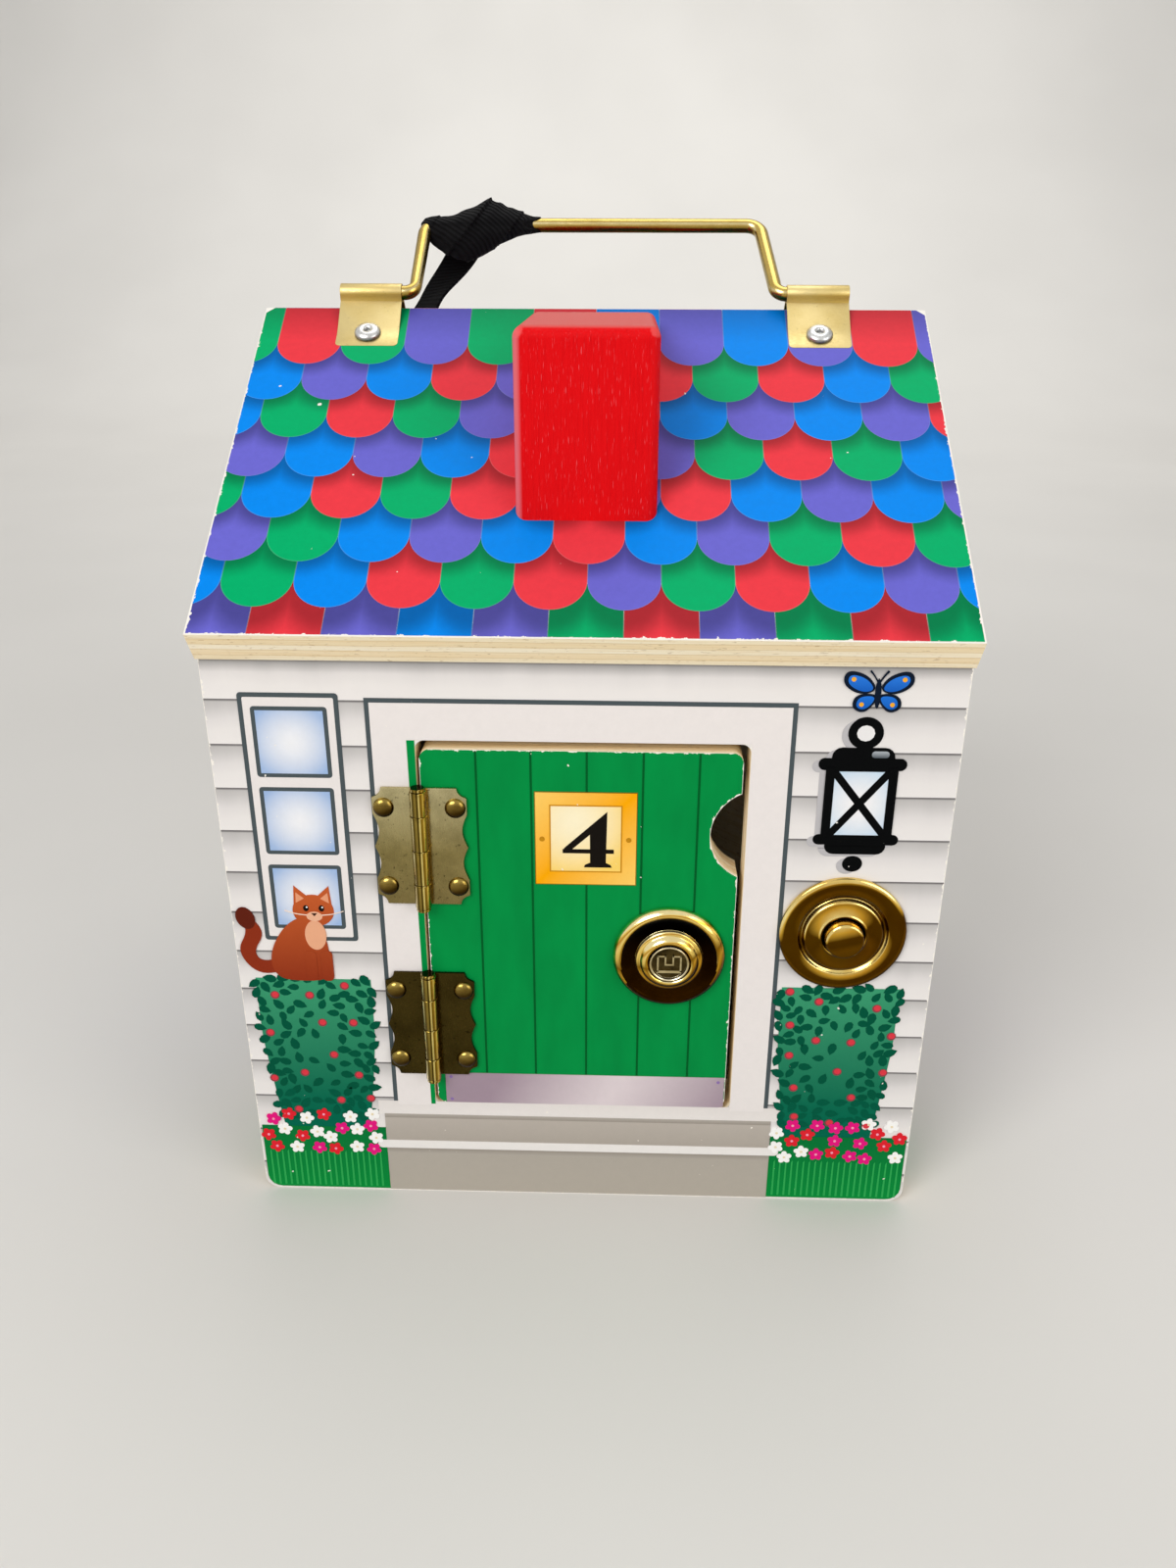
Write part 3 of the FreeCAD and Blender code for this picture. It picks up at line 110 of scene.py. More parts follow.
def birch(add, place, thick):
    """Birch ply: pale face veneers, crossed inner plies, brown glue lines and fine grain."""
    wander = add("TexNoise", place, scale=0.08, detail=3.0)
    depth = add("Math MULTIPLY", add("SeparateXYZ", place).outputs["Z"], 1 / thick)
    wavy = add("Math MULTIPLY_ADD", wander, 0.05, depth)
    level = add("Math SUBTRACT", wavy, 0.025)
    veneer = add("ValToRGB", level, stops=[
        (0.0, "#FDF1D6"), (0.17, "#FBEDCF"), (0.185, "#E0C699"), (0.205, "#F8E5C1"), (0.39, "#FAE9C8"),
        (0.405, "#DDC294"), (0.425, "#FFF6E0"), (0.6, "#FFF4DB"), (0.615, "#DFC495"), (0.635, "#F9E8C5"),
        (0.81, "#F8E5C0"), (0.825, "#DEC394"), (0.845, "#FDF1D5"), (1.0, "#FDF1D6"),
    ])
    # Grain streaks about 0.8 mm wide and 25 mm long, and open pores 0.4 mm across.
    long = add("VectorMath MULTIPLY", place, (0.04, 1.2, 2.6))
    streak = add("TexNoise", long, scale=1.0, detail=5.0, roughness=0.6)
    tone = add("ValToRGB", streak, stops=[(0.3, "#EDD9B4"), (0.48, "#FFF9EE"), (0.7, "#FFFFFF")])
    grained = add("Mix MULTIPLY", 0.6, veneer, tone)
    pore = add("TexNoise", add("VectorMath MULTIPLY", place, (0.5, 2.4, 2.4)), scale=1.0, detail=2.0)
    dark = add("ValToRGB", pore, stops=[(0.28, "#9C7848"), (0.36, "#FFFFFF")])
    colour = add("Mix MULTIPLY", 0.4, grained, dark)
    return colour, add("Math ADD", streak, pore)


def coat(add, colour, rough, relief, strength, reach, **gloss):
    """Closes a finish with its shader: colour, roughness, and a relief that reaches so far."""
    bump = add("Bump", height=relief, strength=strength, distance=reach)
    shader = add("BsdfPrincipled", base_color=colour, roughness=rough, normal=bump, **gloss)
    add("OutputMaterial", shader)


def dress(material, *names):
    """Gives the frame's own pieces this finish."""
    for name in names:
        mesh = nodes[name].data
        mesh.materials.clear()
        mesh.materials.append(material)


THIN = 6.0


def bare_ply(name, tilt=0, side=0, lift=0.0):
    """Sanded birch ply without varnish: matt, with a faint grain under the finger."""
    made, add = finish(name)
    colour, relief = birch(add, board_place(add, tilt, side, lift), THIN)
    coat(add, colour, 0.78, relief, 0.25, 0.0003, ior=1.45)
    return made


dress(bare_ply("base_birch_ply"), "base_board")


# Walls. Four 9.5 mm panels of birch ply, the gables let in between front and back. The outer
# face carries varnished printed paper with clapboards, and its edges are chipped to white.
SIDES = {"front": 0, "right": 90, "back": 180, "left": 270}
WALL, THICK = 95.0, 9.5


def wall_place(add, angle):
    """Millimetres on a board that stands in a wall: x along it, y up and z out through it."""
    return board_place(add, -90, angle, THICK - WALL)


def printed_board(add, place, picture, edge, chips):
    """Puts printed paper on a board's outer face, torn to white paper where its edge is worn."""
    bare, relief = birch(add, place, THICK)
    outer = add("Math GREATER_THAN", add("SeparateXYZ", place).outputs["Z"], THICK - 0.05)
    ragged = add("TexNoise", place, scale=0.55, detail=4.0, roughness=0.7)
    torn = add("Math LESS_THAN", edge, add("MapRange", ragged, 0.5, 0.74, 0.1, chips))
    fleck = add("TexNoise", place, scale=0.42, detail=2.0)
    gone = add("Math MAXIMUM", torn, add("Math GREATER_THAN", fleck, 0.79))
    paper = add("Mix MIX", gone, picture, "#F4EEE3")
    colour = add("Mix MIX", outer, bare, paper)
    shine = add("MapRange", outer, to_min=0.78, to_max=0.36)
    soft = add("TexNoise", place, scale=0.35, detail=3.0)
    dull = add("Math MULTIPLY_ADD", soft, 0.12, shine)
    depth = add("Mix", outer, relief, soft)
    coat(add, colour, dull, depth, 0.2, 0.0003, ior=1.47, specular_ior_level=0.05)


def box_edge(add, place, middle, half):
    """How far a point of a board's face lies from a rectangle: below nought inside it."""
    away = add("VectorMath ABSOLUTE", add("VectorMath SUBTRACT", place, middle))
    over = add("SeparateXYZ", add("VectorMath SUBTRACT", away, half))
    return add("Math MAXIMUM", over.outputs["X"], over.outputs["Y"])


def clapboard_wall(side, angle):
    """Near-white printed boards 12.2 mm apart, a grey line and a soft shadow under each."""
    made, add = finish(f"{side}_clapboard_print")
    place = wall_place(add, angle)
    rise = add("SeparateXYZ", place).outputs["Y"]
    under = add("Math FRACT", add("Math MULTIPLY_ADD", rise, -1 / 12.2, 168.7 / 12.2))
    drawn_out = add("VectorMath MULTIPLY", place, (1.0, 0.12, 1.0))
    smudge = add("TexNoise", drawn_out, scale=0.12, detail=4.0)
    shadow = add("Math MULTIPLY_ADD", smudge, 0.3, under)
    tint = add("ValToRGB", add("Math SUBTRACT", shadow, 0.15), stops=[
        (0.0, "#B7B3B0"), (0.2, "#C7C3C0"), (0.45, "#DDD8D5"), (0.7, "#E6E1DD"), (1.0, "#E9E4E0"),
    ])
    line = add("ValToRGB", under, stops=[(0.0, "#9B9A9C"), (0.03, "#A9A8A9"), (0.06, "#FFFFFF")])
    boards = add("Mix MULTIPLY", 1.0, tint, line)
    half = WALL - THICK
    if side in ("front", "back"):
        # These two reach the corners, and they carry a painted shadow of the eave close under it.
        half = WALL
        boards = add("Mix MULTIPLY", 1.0, boards, add("MapRange", rise, 163.6, 167.3, 1.0, 0.5))
    rim = add("Math ABSOLUTE", box_edge(add, place, (0.0, 145.0, 0.0), (half, 145.0, 0.0)))
    hole = add("Math ABSOLUTE", box_edge(add, place, (0.0, 89.25, 0.0), (42.5, 56.75, 0.0)))
    printed_board(add, place, boards, add("Math MINIMUM", rim, hole), 1.0)
    return made


for side, angle in SIDES.items():
    dress(clapboard_wall(side, angle), f"wall_{side}")


# Floor, partitions and ceiling. Sanded 6 mm ply, left bare: the floor stops the doors, the
# half-lapped partitions make a room behind each door, and the ceiling closes them.
dress(bare_ply("floor_birch_ply", lift=-30.0), "floor_board")
dress(bare_ply("ceiling_birch_ply", lift=-152.0), "ceiling_board")
dress(bare_ply("partition_a_birch_ply", tilt=-90, side=45, lift=THIN / 2), "partition_a")
dress(bare_ply("partition_b_birch_ply", tilt=-90, side=-45, lift=THIN / 2), "partition_b")


# Facade print. Litho print on paper glued to each wall: a door surround, a window, two steps, a
# hedge over a flower bed on each side, and a lantern. Its inks lie a hair over the clapboards.
pressed = itertools.count()


def stamp(art, ink, layer, box=None, oval=None, points=None, outline=None, round_by=0.0, cuts=0,
          turn=0.0, shift=None):
    """Presses one flat shape of ink into the art, in millimetres: a box (left, low, right,
    high), an oval (middle and two radii), a few corner points or a smooth outline."""
    flat = bmesh.new()
    if box:
        left, low, right, high = box
        bmesh.ops.create_grid(flat, x_segments=cuts + 1, y_segments=cuts + 1, size=0.5)
        bmesh.ops.scale(flat, vec=(right - left, high - low, 1), verts=flat.verts)
        bmesh.ops.translate(flat, vec=((left + right) / 2, (low + high) / 2, 0), verts=flat.verts)
    elif oval:
        x, y, wide, tall = oval
        around = Matrix.Rotation(math.radians(turn), 3, "Z")
        bmesh.ops.create_circle(flat, cap_ends=True, segments=12 if wide < 2.5 else 32, radius=1.0)
        bmesh.ops.scale(flat, vec=(wide, tall, 1), verts=flat.verts)
        bmesh.ops.rotate(flat, cent=(0, 0, 0), matrix=around, verts=flat.verts)
        bmesh.ops.translate(flat, vec=(x, y, 0), verts=flat.verts)
    elif points:
        flat.faces.new([flat.verts.new((x, y, 0)) for x, y in points])
    else:
        smooth_face(flat, outline)
    if round_by:
        round_corners(flat, flat.verts[:], round_by, 4)
    if shift:
        for vert in flat.verts:
            vert.co.x, vert.co.y = shift(vert.co.x, vert.co.y)
    # Each ink ends at a height of its own, so that no two of them lie in one plane.
    height = 0.16 + 0.035 * layer + 0.003 * (next(pressed) % 11)
    raised = bmesh.ops.extrude_face_region(flat, geom=flat.faces[:])
    bmesh.ops.translate(flat, vec=(0, 0, height), verts=new_points(raised))
    store = art.loops.layers.float_color.get("ink") or art.loops.layers.float_color.new("ink")
    twin = {vert: art.verts.new(vert.co) for vert in flat.verts}
    for face in flat.faces:
        for loop in art.faces.new([twin[vert] for vert in face.verts]).loops:
            loop[store] = linear(ink) if isinstance(ink, str) else ink(loop.vert.co.x, loop.vert.co.y)
    flat.free()


def round_corners(work, corners, radius, steps):
    """Rounds corners of a flat shape or of a line."""
    bmesh.ops.bevel(
        work, geom=corners, offset=radius, affect="VERTICES", segments=steps, profile=0.5, material=-1,
    )


def new_points(made):
    """The points among what an operator made."""
    return [item for item in made["geom"] if isinstance(item, bmesh.types.BMVert)]


def drawn(kind, spots, **settings):
    """A curve that a few points control, its one line, and the object that holds it."""
    curve = bpy.data.curves.new("line", "CURVE")
    for name, value in settings.items():
        setattr(curve, name, value)
    line = curve.splines.new(kind)
    line.points.add(len(spots) - 1)
    for point, spot in zip(line.points, spots):
        point.co = (*spot, 1)
    return line, bpy.data.objects.new("line", curve)


def smooth_face(flat, outline):
    """A face inside a closed smooth curve that a few points control."""
    spots = [(x, y, 0) for x, y in outline]
    line, holder = drawn("NURBS", spots, dimensions="2D", fill_mode="BOTH", resolution_u=6)
    line.use_cyclic_u, line.order_u = True, 3
    flat.from_mesh(bpy.data.meshes.new_from_object(holder))
    bpy.data.objects.remove(holder)
    bmesh.ops.remove_doubles(flat, verts=flat.verts, dist=0.001)


def pen(art, ink, layer, line):
    """A smooth pen stroke: each point of its line has a place and the stroke's width there."""
    ahead, behind = [], []
    for number, (x, y, width) in enumerate(line):
        x0, y0, _ = line[max(number - 1, 0)]
        x1, y1, _ = line[min(number + 1, len(line) - 1)]
        long = math.hypot(x1 - x0, y1 - y0)
        across = ((y0 - y1) / long * width / 2, (x1 - x0) / long * width / 2)
        ahead.append((x + across[0], y + across[1]))
        behind.insert(0, (x - across[0], y - across[1]))
    outline = ahead[:1] + ahead + ahead[-1:] + behind[:1] + behind + behind[-1:]
    stamp(art, ink, layer, outline=outline)


def blended(first, second, share_at):
    """An ink that goes from one colour to another with the share that each place has."""
    a, b = linear(first), linear(second)

    def ink(x, y):
        share = min(1.0, max(0.0, share_at(x, y)))
        return [p + (q - p) * share for p, q in zip(a, b)]

    return ink


def fade(low, high, start, end):
    """An ink that runs from one colour to another up the picture."""
    return blended(low, high, lambda x, y: (y - start) / (end - start))


def glow(middle, rim, x, y, reach):
    """An ink that is pale at a point and deepens away from it."""
    return blended(middle, rim, lambda px, py: (math.hypot(px - x, py - y) / reach) ** 1.6)


def side_turn(side, out=WALL):
    """Carries what is drawn flat, in millimetres, to the face of a wall, in metres."""
    stand = Matrix.Rotation(math.radians(90), 4, "X")
    around = Matrix.Rotation(math.radians(SIDES[side]), 4, "Z")
    return around @ Matrix.Translation((0, -out / 1000, 0)) @ stand @ Matrix.Scale(0.001, 4)


def piece(name, body, mesh_work, material, place=None, smooth=None):
    """Makes a piece of the object from its mesh work, in its finish, riding on its body."""
    if place:
        bmesh.ops.transform(mesh_work, matrix=place, verts=mesh_work.verts)
    bmesh.ops.recalc_face_normals(mesh_work, faces=mesh_work.faces)
    mesh = bpy.data.meshes.new(name)
    mesh_work.to_mesh(mesh)
    mesh_work.free()
    if smooth is not None:
        mesh.shade_smooth()
        mesh.set_sharp_from_angle(angle=math.radians(smooth))
    mesh.materials.append(material)
    made = bpy.data.objects.new(name, mesh)
    bpy.context.scene.collection.objects.link(made)
    if body:
        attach(made, body)
    return made


def printed_ink(name):
    """Varnished four-colour print: solid ink with faint mottling and a satin shine."""
    made, add = finish(name)
    place = board_place(add)
    ink = add("Attribute", attribute_name="ink").outputs["Color"]
    mottle = add("TexNoise", place, scale=0.5, detail=5.0, roughness=0.7)
    colour = add("Mix MULTIPLY", 1.0, ink, add("MapRange", mottle, 0.3, 0.7, 0.975, 1.01))
    fleck = add("TexNoise", place, scale=0.55, detail=2.0)
    worn = add("Mix MIX", add("Math GREATER_THAN", fleck, 0.78), colour, "#EFE9DF")
    rough = add("MapRange", mottle, to_min=0.28, to_max=0.44)
    coat(add, worn, rough, mottle, 0.12, 0.0002, ior=1.47, specular_ior_level=0.04)
    return made


PAPER, SLATE, LAMP_BLACK = "#E8E1DD", "#4B5457", "#060708"


def door_surround(art, door_ink):
    """White casing with a slate outline, and a strip of the door's colour at the hinges."""
    for left, low, right, high in (
        (-54.6, 33, -42.6, 157.2), (42.6, 33, 53.4, 157.2), (-54.6, 146.1, 53.4, 157.2),
    ):
        stamp(art, SLATE, 1, box=(left, low, right, high))
    stamp(art, PAPER, 2, box=(-53.4, 32, -42.55, 156.0))
    stamp(art, PAPER, 2, box=(42.55, 32, 52.2, 156.0))
    stamp(art, PAPER, 3, box=(-53.4, 146.05, 52.2, 156.0))
    stamp(art, door_ink, 4, points=[(-43.7, 32.5), (-42.5, 32.5), (-42.5, 146.0), (-44.5, 146.0)])


def window(art, left, low):
    """A tall sash of three panes, sky blue and pale in the middle."""
    stamp(art, SLATE, 1, box=(left, low, left + 25.4, low + 71.5), round_by=0.9)
    stamp(art, PAPER, 2, box=(left + 1.2, low + 1.2, left + 24.2, low + 70.3), round_by=0.4)
    for sill in (3.8, 26.3, 48.5):
        x, y = left + 3.0, low + sill
        sky = glow("#EEEEF0", "#9CB6DC", x + 9.7, y + 9.7, 11.0)
        stamp(art, SLATE, 3, box=(x, y, x + 19.4, y + 19.4), round_by=0.9)
        stamp(art, sky, 4, box=(x + 1.1, y + 1.1, x + 18.3, y + 18.3), cuts=11)


def steps(art):
    """Two stone-grey risers, each under a white nosing with a shadow below it."""
    stamp(art, fade("#EAE4DF", "#E2DBD6", 26, 33), 1, box=(-59.2, 28.4, 57.0, 33.2))
    stamp(art, fade("#ABA297", "#B9B0A6", 17, 29), 2, box=(-57.6, 17.0, 54.6, 28.6))
    stamp(art, fade("#968E84", "#B2AAA0", 27.0, 28.8), 3, box=(-57.6, 27.2, 54.6, 28.6))
    stamp(art, "#EBE6E1", 7, box=(-60.2, 16.2, 57.4, 19.0), round_by=1.3)
    stamp(art, fade("#B3AB9E", "#AFA79C", 0, 16), 2, box=(-57.6, 0.4, 54.8, 16.6))
    stamp(art, fade("#AFA79C", "#928A80", 14.4, 16.4), 6, box=(-57.6, 14.4, 54.8, 16.5))


def near(x, y, *spots, flip=1, size=1.0):
    """Spots given from a point, mirrored where flip is -1; a pen stroke's keep their widths."""
    return [(x + flip * across * size, y + up * size, *wide) for across, up, *wide in spots]


def leaf(art, ink, layer, x, y, turn, size=1.0):
    """A small leaf, round at its foot and pointed at its tip."""
    c, s = math.cos(math.radians(turn)) * size, math.sin(math.radians(turn)) * size
    half = ((-1.5, 0), (-1.15, 0.7), (-0.2, 1.05), (0.85, 0.8), (1.85, 0))
    spots = [*half, *((a, -b) for a, b in half[-2:0:-1])]
    stamp(art, ink, layer, points=[(x + a * c - b * s, y + a * s + b * c) for a, b in spots])


def hedge(art, chance, middle):
    """A clipped shrub in a V, dark leaves over it and past its rim, and red berries."""
    low, high = 24.0, 74.4

    def flare(x, y):
        up = (y - low) / (high - low)
        wide = 0.8 + 0.24 * min(1.0, max(0.0, up) * 1.6) ** 0.8
        return middle + (x - middle) * wide, y - 0.5 * (1 - abs(x - middle) / 16) * (up < 0)

    body = (middle - 15.4, low - 3, middle + 15.4, high)
    stamp(art, fade("#00644A", "#3A966C", low + 8, high), 3, box=body, cuts=7, shift=flare)
    spots = []
    for _ in range(2600):
        x, y = chance.uniform(-16.0, 16.0), chance.uniform(low + 3, high + 0.5)
        # Leaves crowd at the rim and thin out towards the middle.
        inner = math.hypot(x / 9, (y - (low + high) / 2 + 2) / 19)
        apart = 2.5 if inner > 1.1 else 3.0 if inner > 0.7 else 4.4
        if all(math.hypot(x - a, y - b) > apart * chance.uniform(0.95, 1.2) for a, b in spots):
            spots.append((x, y))
    berries = []
    for x, y in spots:
        px, py = flare(middle + x, y)
        clear = all(math.hypot(px - a, py - b) > 8.5 for a, b in berries)
        if len(berries) < 15 and abs(x) < 15 and clear:
            berries.append((px, py))
            stamp(art, "#8E4048", 5, oval=(px, py, 1.3, 1.3))
            stamp(art, "#D93A45", 6, oval=(px + 0.1, py + 0.15, 0.95, 0.95))
        else:
            ink = "#00523A" if y > low + 12 else "#00573F"
            leaf(art, ink, 4, px, py, chance.uniform(0, 360), chance.uniform(1.0, 1.25))


def flower_bed(art, chance, outer, inner):
    """Grass with upright blades, blossoms behind it, and its outer lower corner worn round."""
    left, right = sorted((outer, inner))
    hand = math.copysign(4.0, inner - outer)
    lawn = [
        (outer + hand * (1 - math.cos(t)), 0.7 + 4.0 * (1 - math.sin(t)))
        for t in (0, 0.4, 0.8, 1.2, math.pi / 2)
    ]
    lawn += [(inner, 0.7), (inner, 23.4), (outer, 23.4)]
    stamp(art, fade("#088A3A", "#057035", 2, 24), 4, points=lawn)
    x = left + 1.4
    while x < right - 1.6:
        stamp(art, "#2FA653", 5, points=near(x, 0, (0, 1.5), (0.6, 1.5), (0.5, 14.6), (0.1, 13.9)))
        x += 1.72
    spots = []
    for _ in range(900):
        x, y = chance.uniform(left + 1.5, right - 1.5), chance.uniform(15.4, 28.4)
        if all(math.hypot(x - a, y - b) > 4.25 for a, b in spots):
            spots.append((x, y))
    white = "#F8F6F2"
    inks = [white, "#E2187C", "#DE2430", white, "#E2187C"]
    for number, (x, y) in enumerate(sorted(spots, key=lambda spot: -spot[1])):
        ink, turn = inks[chance.randrange(5)], chance.uniform(0, 90)
        for around in range(0, 360, 72):
            angle = math.radians(around + turn)
            petal = (x + 1.25 * math.cos(angle), y + 1.25 * math.sin(angle), 1.0, 0.85)
            stamp(art, ink, 6 + number % 3, oval=petal, turn=around + turn)
        stamp(art, "#E9D9B4" if ink == white else "#F2A0B8", 9, oval=(x, y, 0.4, 0.4))


def lantern(art, x):
    """A black hanging lantern with a crossed pane, and its grey shadow on the boards."""
    for ink, layer, dx, dy in (("#B9B6B7", 1, -1.5, -0.7), (LAMP_BLACK, 3, 0.0, 0.0)):
        stamp(art, ink, layer, oval=(x + dx, 149.5 + dy, 4.4, 4.3))
        for half, low, high, round_by in (
            (1.6, 144.6, 146.6, 0.0), (7.9, 140.0, 145.6, 2.6), (11.1, 139.4, 142.7, 1.6),
            (9.1, 119.0, 141.0, 0.0), (11.0, 118.4, 121.4, 1.5), (7.9, 115.7, 120.4, 2.4),
        ):
            box = (x - half + dx, low + dy, x + half + dx, high + dy)
            stamp(art, ink, layer, box=box, round_by=round_by)
        stamp(art, ink, layer, oval=(x - 0.2 + dx, 112.9 + dy, 2.6, 2.3))
    stamp(art, "#E9E6E4", 4, oval=(x, 149.5, 2.25, 2.15))
    glint = fade("#4A5258", "#B4BABF", 142.9, 145.0)
    stamp(art, glint, 5, box=(x + 2.0, 142.9, x + 6.4, 144.7), round_by=0.85)
    pane = glow("#F3F0EE", "#B3D0E6", x, 130.0, 12.0)
    stamp(art, pane, 5, box=(x - 7.0, 121.3, x + 7.0, 139.1), cuts=9)
    for foot in (-7.0, 7.0):
        bar = ((foot - 1.25, 121.3), (foot + 1.25, 121.3), (1.25 - foot, 139.1), (-foot - 1.25, 139.1))
        stamp(art, LAMP_BLACK, 6, points=near(x, 0, *bar))
    for edge in (-9.1, 6.8):
        stamp(art, LAMP_BLACK, 7, box=(x + edge, 120.6, x + edge + 2.3, 140.2))


def cat(art, x, y):
    """A russet cat that sits on the left hedge."""
    coat_ink, dark = fade("#8E3319", "#C05A2C", y, y + 26), "#8A3018"
    pen(art, dark, 7, near(
        x, y, (-6.5, 4.5, 4.2), (-13.5, 3.0, 4.4), (-17.0, 8.5, 4.6), (-13.2, 14.5, 4.8), (-16.0, 19.5, 2.6),
    ))
    stamp(art, coat_ink, 8, outline=near(
        x, y, (-9, 0), (-10.5, 7), (-6.5, 15.5), (-1.0, 20), (4.5, 18), (6.4, 9), (6.2, 0), (-1, -0.9),
    ))
    stamp(art, coat_ink, 9, oval=(x + 3.0, y + 21.6, 5.6, 4.9))
    head, eyes = x + 3.0, x + 3.2
    for ear in (-1, 1):
        stamp(art, coat_ink, 9, points=near(head, y, (5.2, 22.5), (4.7, 29.2), (0.9, 25.6), flip=ear))
        stamp(art, "#E39A73", 10, points=near(head, y, (4.5, 24.0), (4.3, 27.2), (2.2, 25.4), flip=ear))
        stamp(art, "#17120F", 11, oval=(eyes + ear * 2.1, y + 22.4, 0.75, 0.95))
        stamp(art, "#FFFFFF", 12, oval=(eyes + 0.25 + ear * 2.1, y + 22.75, 0.25, 0.25))
        whisker = near(eyes, y, (2.0, 20.3, 0.25), (5.0, 20.6, 0.25), (8.0, 21.6, 0.2), flip=ear)
        pen(art, "#F2DCCB", 11, whisker)
        paw = eyes + ear * 2.2
        stamp(art, coat_ink, 10, box=(paw - 1.6, y - 0.6, paw + 1.6, y + 9.0), round_by=1.4)
    stamp(art, "#E6A883", 10, oval=(x + 3.0, y + 14.0, 2.9, 4.6))
    stamp(art, "#E8B190", 11, oval=(eyes, y + 19.9, 2.2, 1.5))
    stamp(art, "#3A1A12", 12, points=near(eyes, y, (-0.8, 20.9), (0.8, 20.9), (0.0, 20.0)))
    stamp(art, "#5E2012", 8, oval=(x - 15.8, y + 18.9, 2.5, 3.4), turn=20)


def butterfly(art, x, y):
    """A blue butterfly with black rims and one yellow dot on each wing."""
    black, size = "#0F1A2B", 0.86
    upper, lower = fade("#1557B4", "#2F7FE2", y, y + 6), fade("#0B50A8", "#2474D8", y - 6, y)
    for side in (-1, 1):
        def wing(*spots):
            return near(x, y, *spots, flip=side, size=size)

        stamp(art, black, 7, outline=wing((0, 1), (3, 5.6), (9.4, 7.2), (10.4, 2.6), (5, -0.6)))
        stamp(art, upper, 8, outline=wing((0.8, 1.1), (3.4, 4.6), (8.4, 6.0), (9.0, 2.9), (4.6, 0.3)))
        stamp(art, black, 7, outline=wing((0, 0), (6.2, -0.2), (7.4, -4.4), (3.6, -6.2), (0.6, -3)))
        stamp(art, lower, 8, outline=wing((0.7, -0.6), (5.3, -0.9), (6.2, -4.0), (3.7, -5.1), (1.2, -2.8)))
        for px, py in wing((7.2, 4.3), (4.4, -3.3)):
            stamp(art, "#F0A92E", 9, oval=(px, py, 0.6, 0.6))
        pen(art, black, 9, wing((0, 3.0, 0.4), (1.4, 5.4, 0.35), (2.6, 6.8, 0.5)))
    stamp(art, black, 10, oval=(x, y, 0.75, 3.9))


# The inks start this far inside the board, so that none of them hangs free of it.
SUNK = 0.1
DOOR_INKS = {"front": "#008A40", "right": "#6A55B8", "back": "#DE2F37", "left": "#0C7CE0"}
paper_print = printed_ink("varnished_paper_print")
for number, side in enumerate(SIDES):
    chance = random.Random(40 + number)
    # The gable walls are narrower, so their window, hedges and lantern stand closer in.
    edge, closer = (94.2, 0.0) if side in ("front", "back") else (85.1, 4.9)
    art = bmesh.new()
    door_surround(art, DOOR_INKS[side])
    window(art, -86.4 + closer, 86.8)
    hedge(art, chance, -74.6 + closer)
    hedge(art, chance, 70.8 - closer)
    steps(art)
    flower_bed(art, chance, -edge, -57.6)
    flower_bed(art, chance, edge, 54.8)
    lantern(art, 70.6 - closer)
    if side in ("front", "back"):
        cat(art, -75.5, 74.6)
        butterfly(art, 72.5, 160.0)
    else:
        butterfly(art, -71.0, 80.5)
    picture_place = side_turn(side, WALL - SUNK)
    piece(f"{side}_facade_print", "house", art, paper_print, picture_place)


# Sound unit. A moulded ABS battery box behind a screwed cover, three cells, a small green
# circuit board, a steel-cone speaker over its holes, and a twin lead to each bell switch.
def moulded(name, ink, rough=0.45, grain=1.6):
    """Moulded plastic: an even tone, a fine spark-eroded grain and a satin shine."""
    made, add = finish(name)
    fine = add("TexNoise", board_place(add), scale=grain, detail=3.0)
    colour = add("Mix MULTIPLY", 1.0, ink, add("MapRange", fine, to_min=0.9, to_max=1.1))
    dull = add("MapRange", fine, to_min=rough - 0.08, to_max=rough + 0.08)
    coat(add, colour, dull, fine, 0.25, 0.0002, ior=1.53)
    return made


# Painted light and shade are read along this way: up, a little to the front and the left.
UPWARD = (-0.25, -0.15, 0.95)


def metal(name, ink, tarnish, rough=0.25, patch=0.12, brush=(1.0, 1.0, 1.0), spots=0.0, low=0.42,
          high=0.68, painted_tones=None, look=UPWARD, span=(-0.35, 0.65), by_place=False):
    """Metal: its clean colour, duller patches where it has tarnished, and fine rubbing marks.
    Its painted light and shade run over the span of the way a face looks, or of the place along that way."""
    made, add = finish(name)
    place = board_place(add)
    cloud = add("TexNoise", place, scale=patch, detail=5.0, roughness=0.62)
    colour = add("Mix MIX", add("MapRange", cloud, low, high), ink, tarnish)
    if spots:
        dot = add("TexNoise", place, scale=0.9, detail=2.0)
        colour = add("Mix MIX", add("MapRange", dot, 0.66, 0.74, to_max=spots), colour, "#33291A")
    # Painted light and shade, read from the way a face looks or from its place along that way.
    if painted_tones:
        read = place if by_place else add("NewGeometry").outputs["Normal"]
        reading = add("VectorMath DOT_PRODUCT", read, look).outputs["Value"]
        tone = add("ValToRGB", add("MapRange", reading, *span), stops=painted_tones)
        colour = add("Mix MULTIPLY", 1.0, colour, tone)
    brushed = add("VectorMath MULTIPLY", place, brush)
    rub = add("TexNoise", brushed, scale=2.2, detail=4.0, roughness=0.7)
    mixed = add("Math MULTIPLY_ADD", cloud, 0.35, rub)
    dull = add("MapRange", mixed, 0.4, 0.95, rough * 0.6, rough * 1.6)
    coat(add, colour, dull, rub, 0.08, 0.0002, metallic=1.0)
    return made


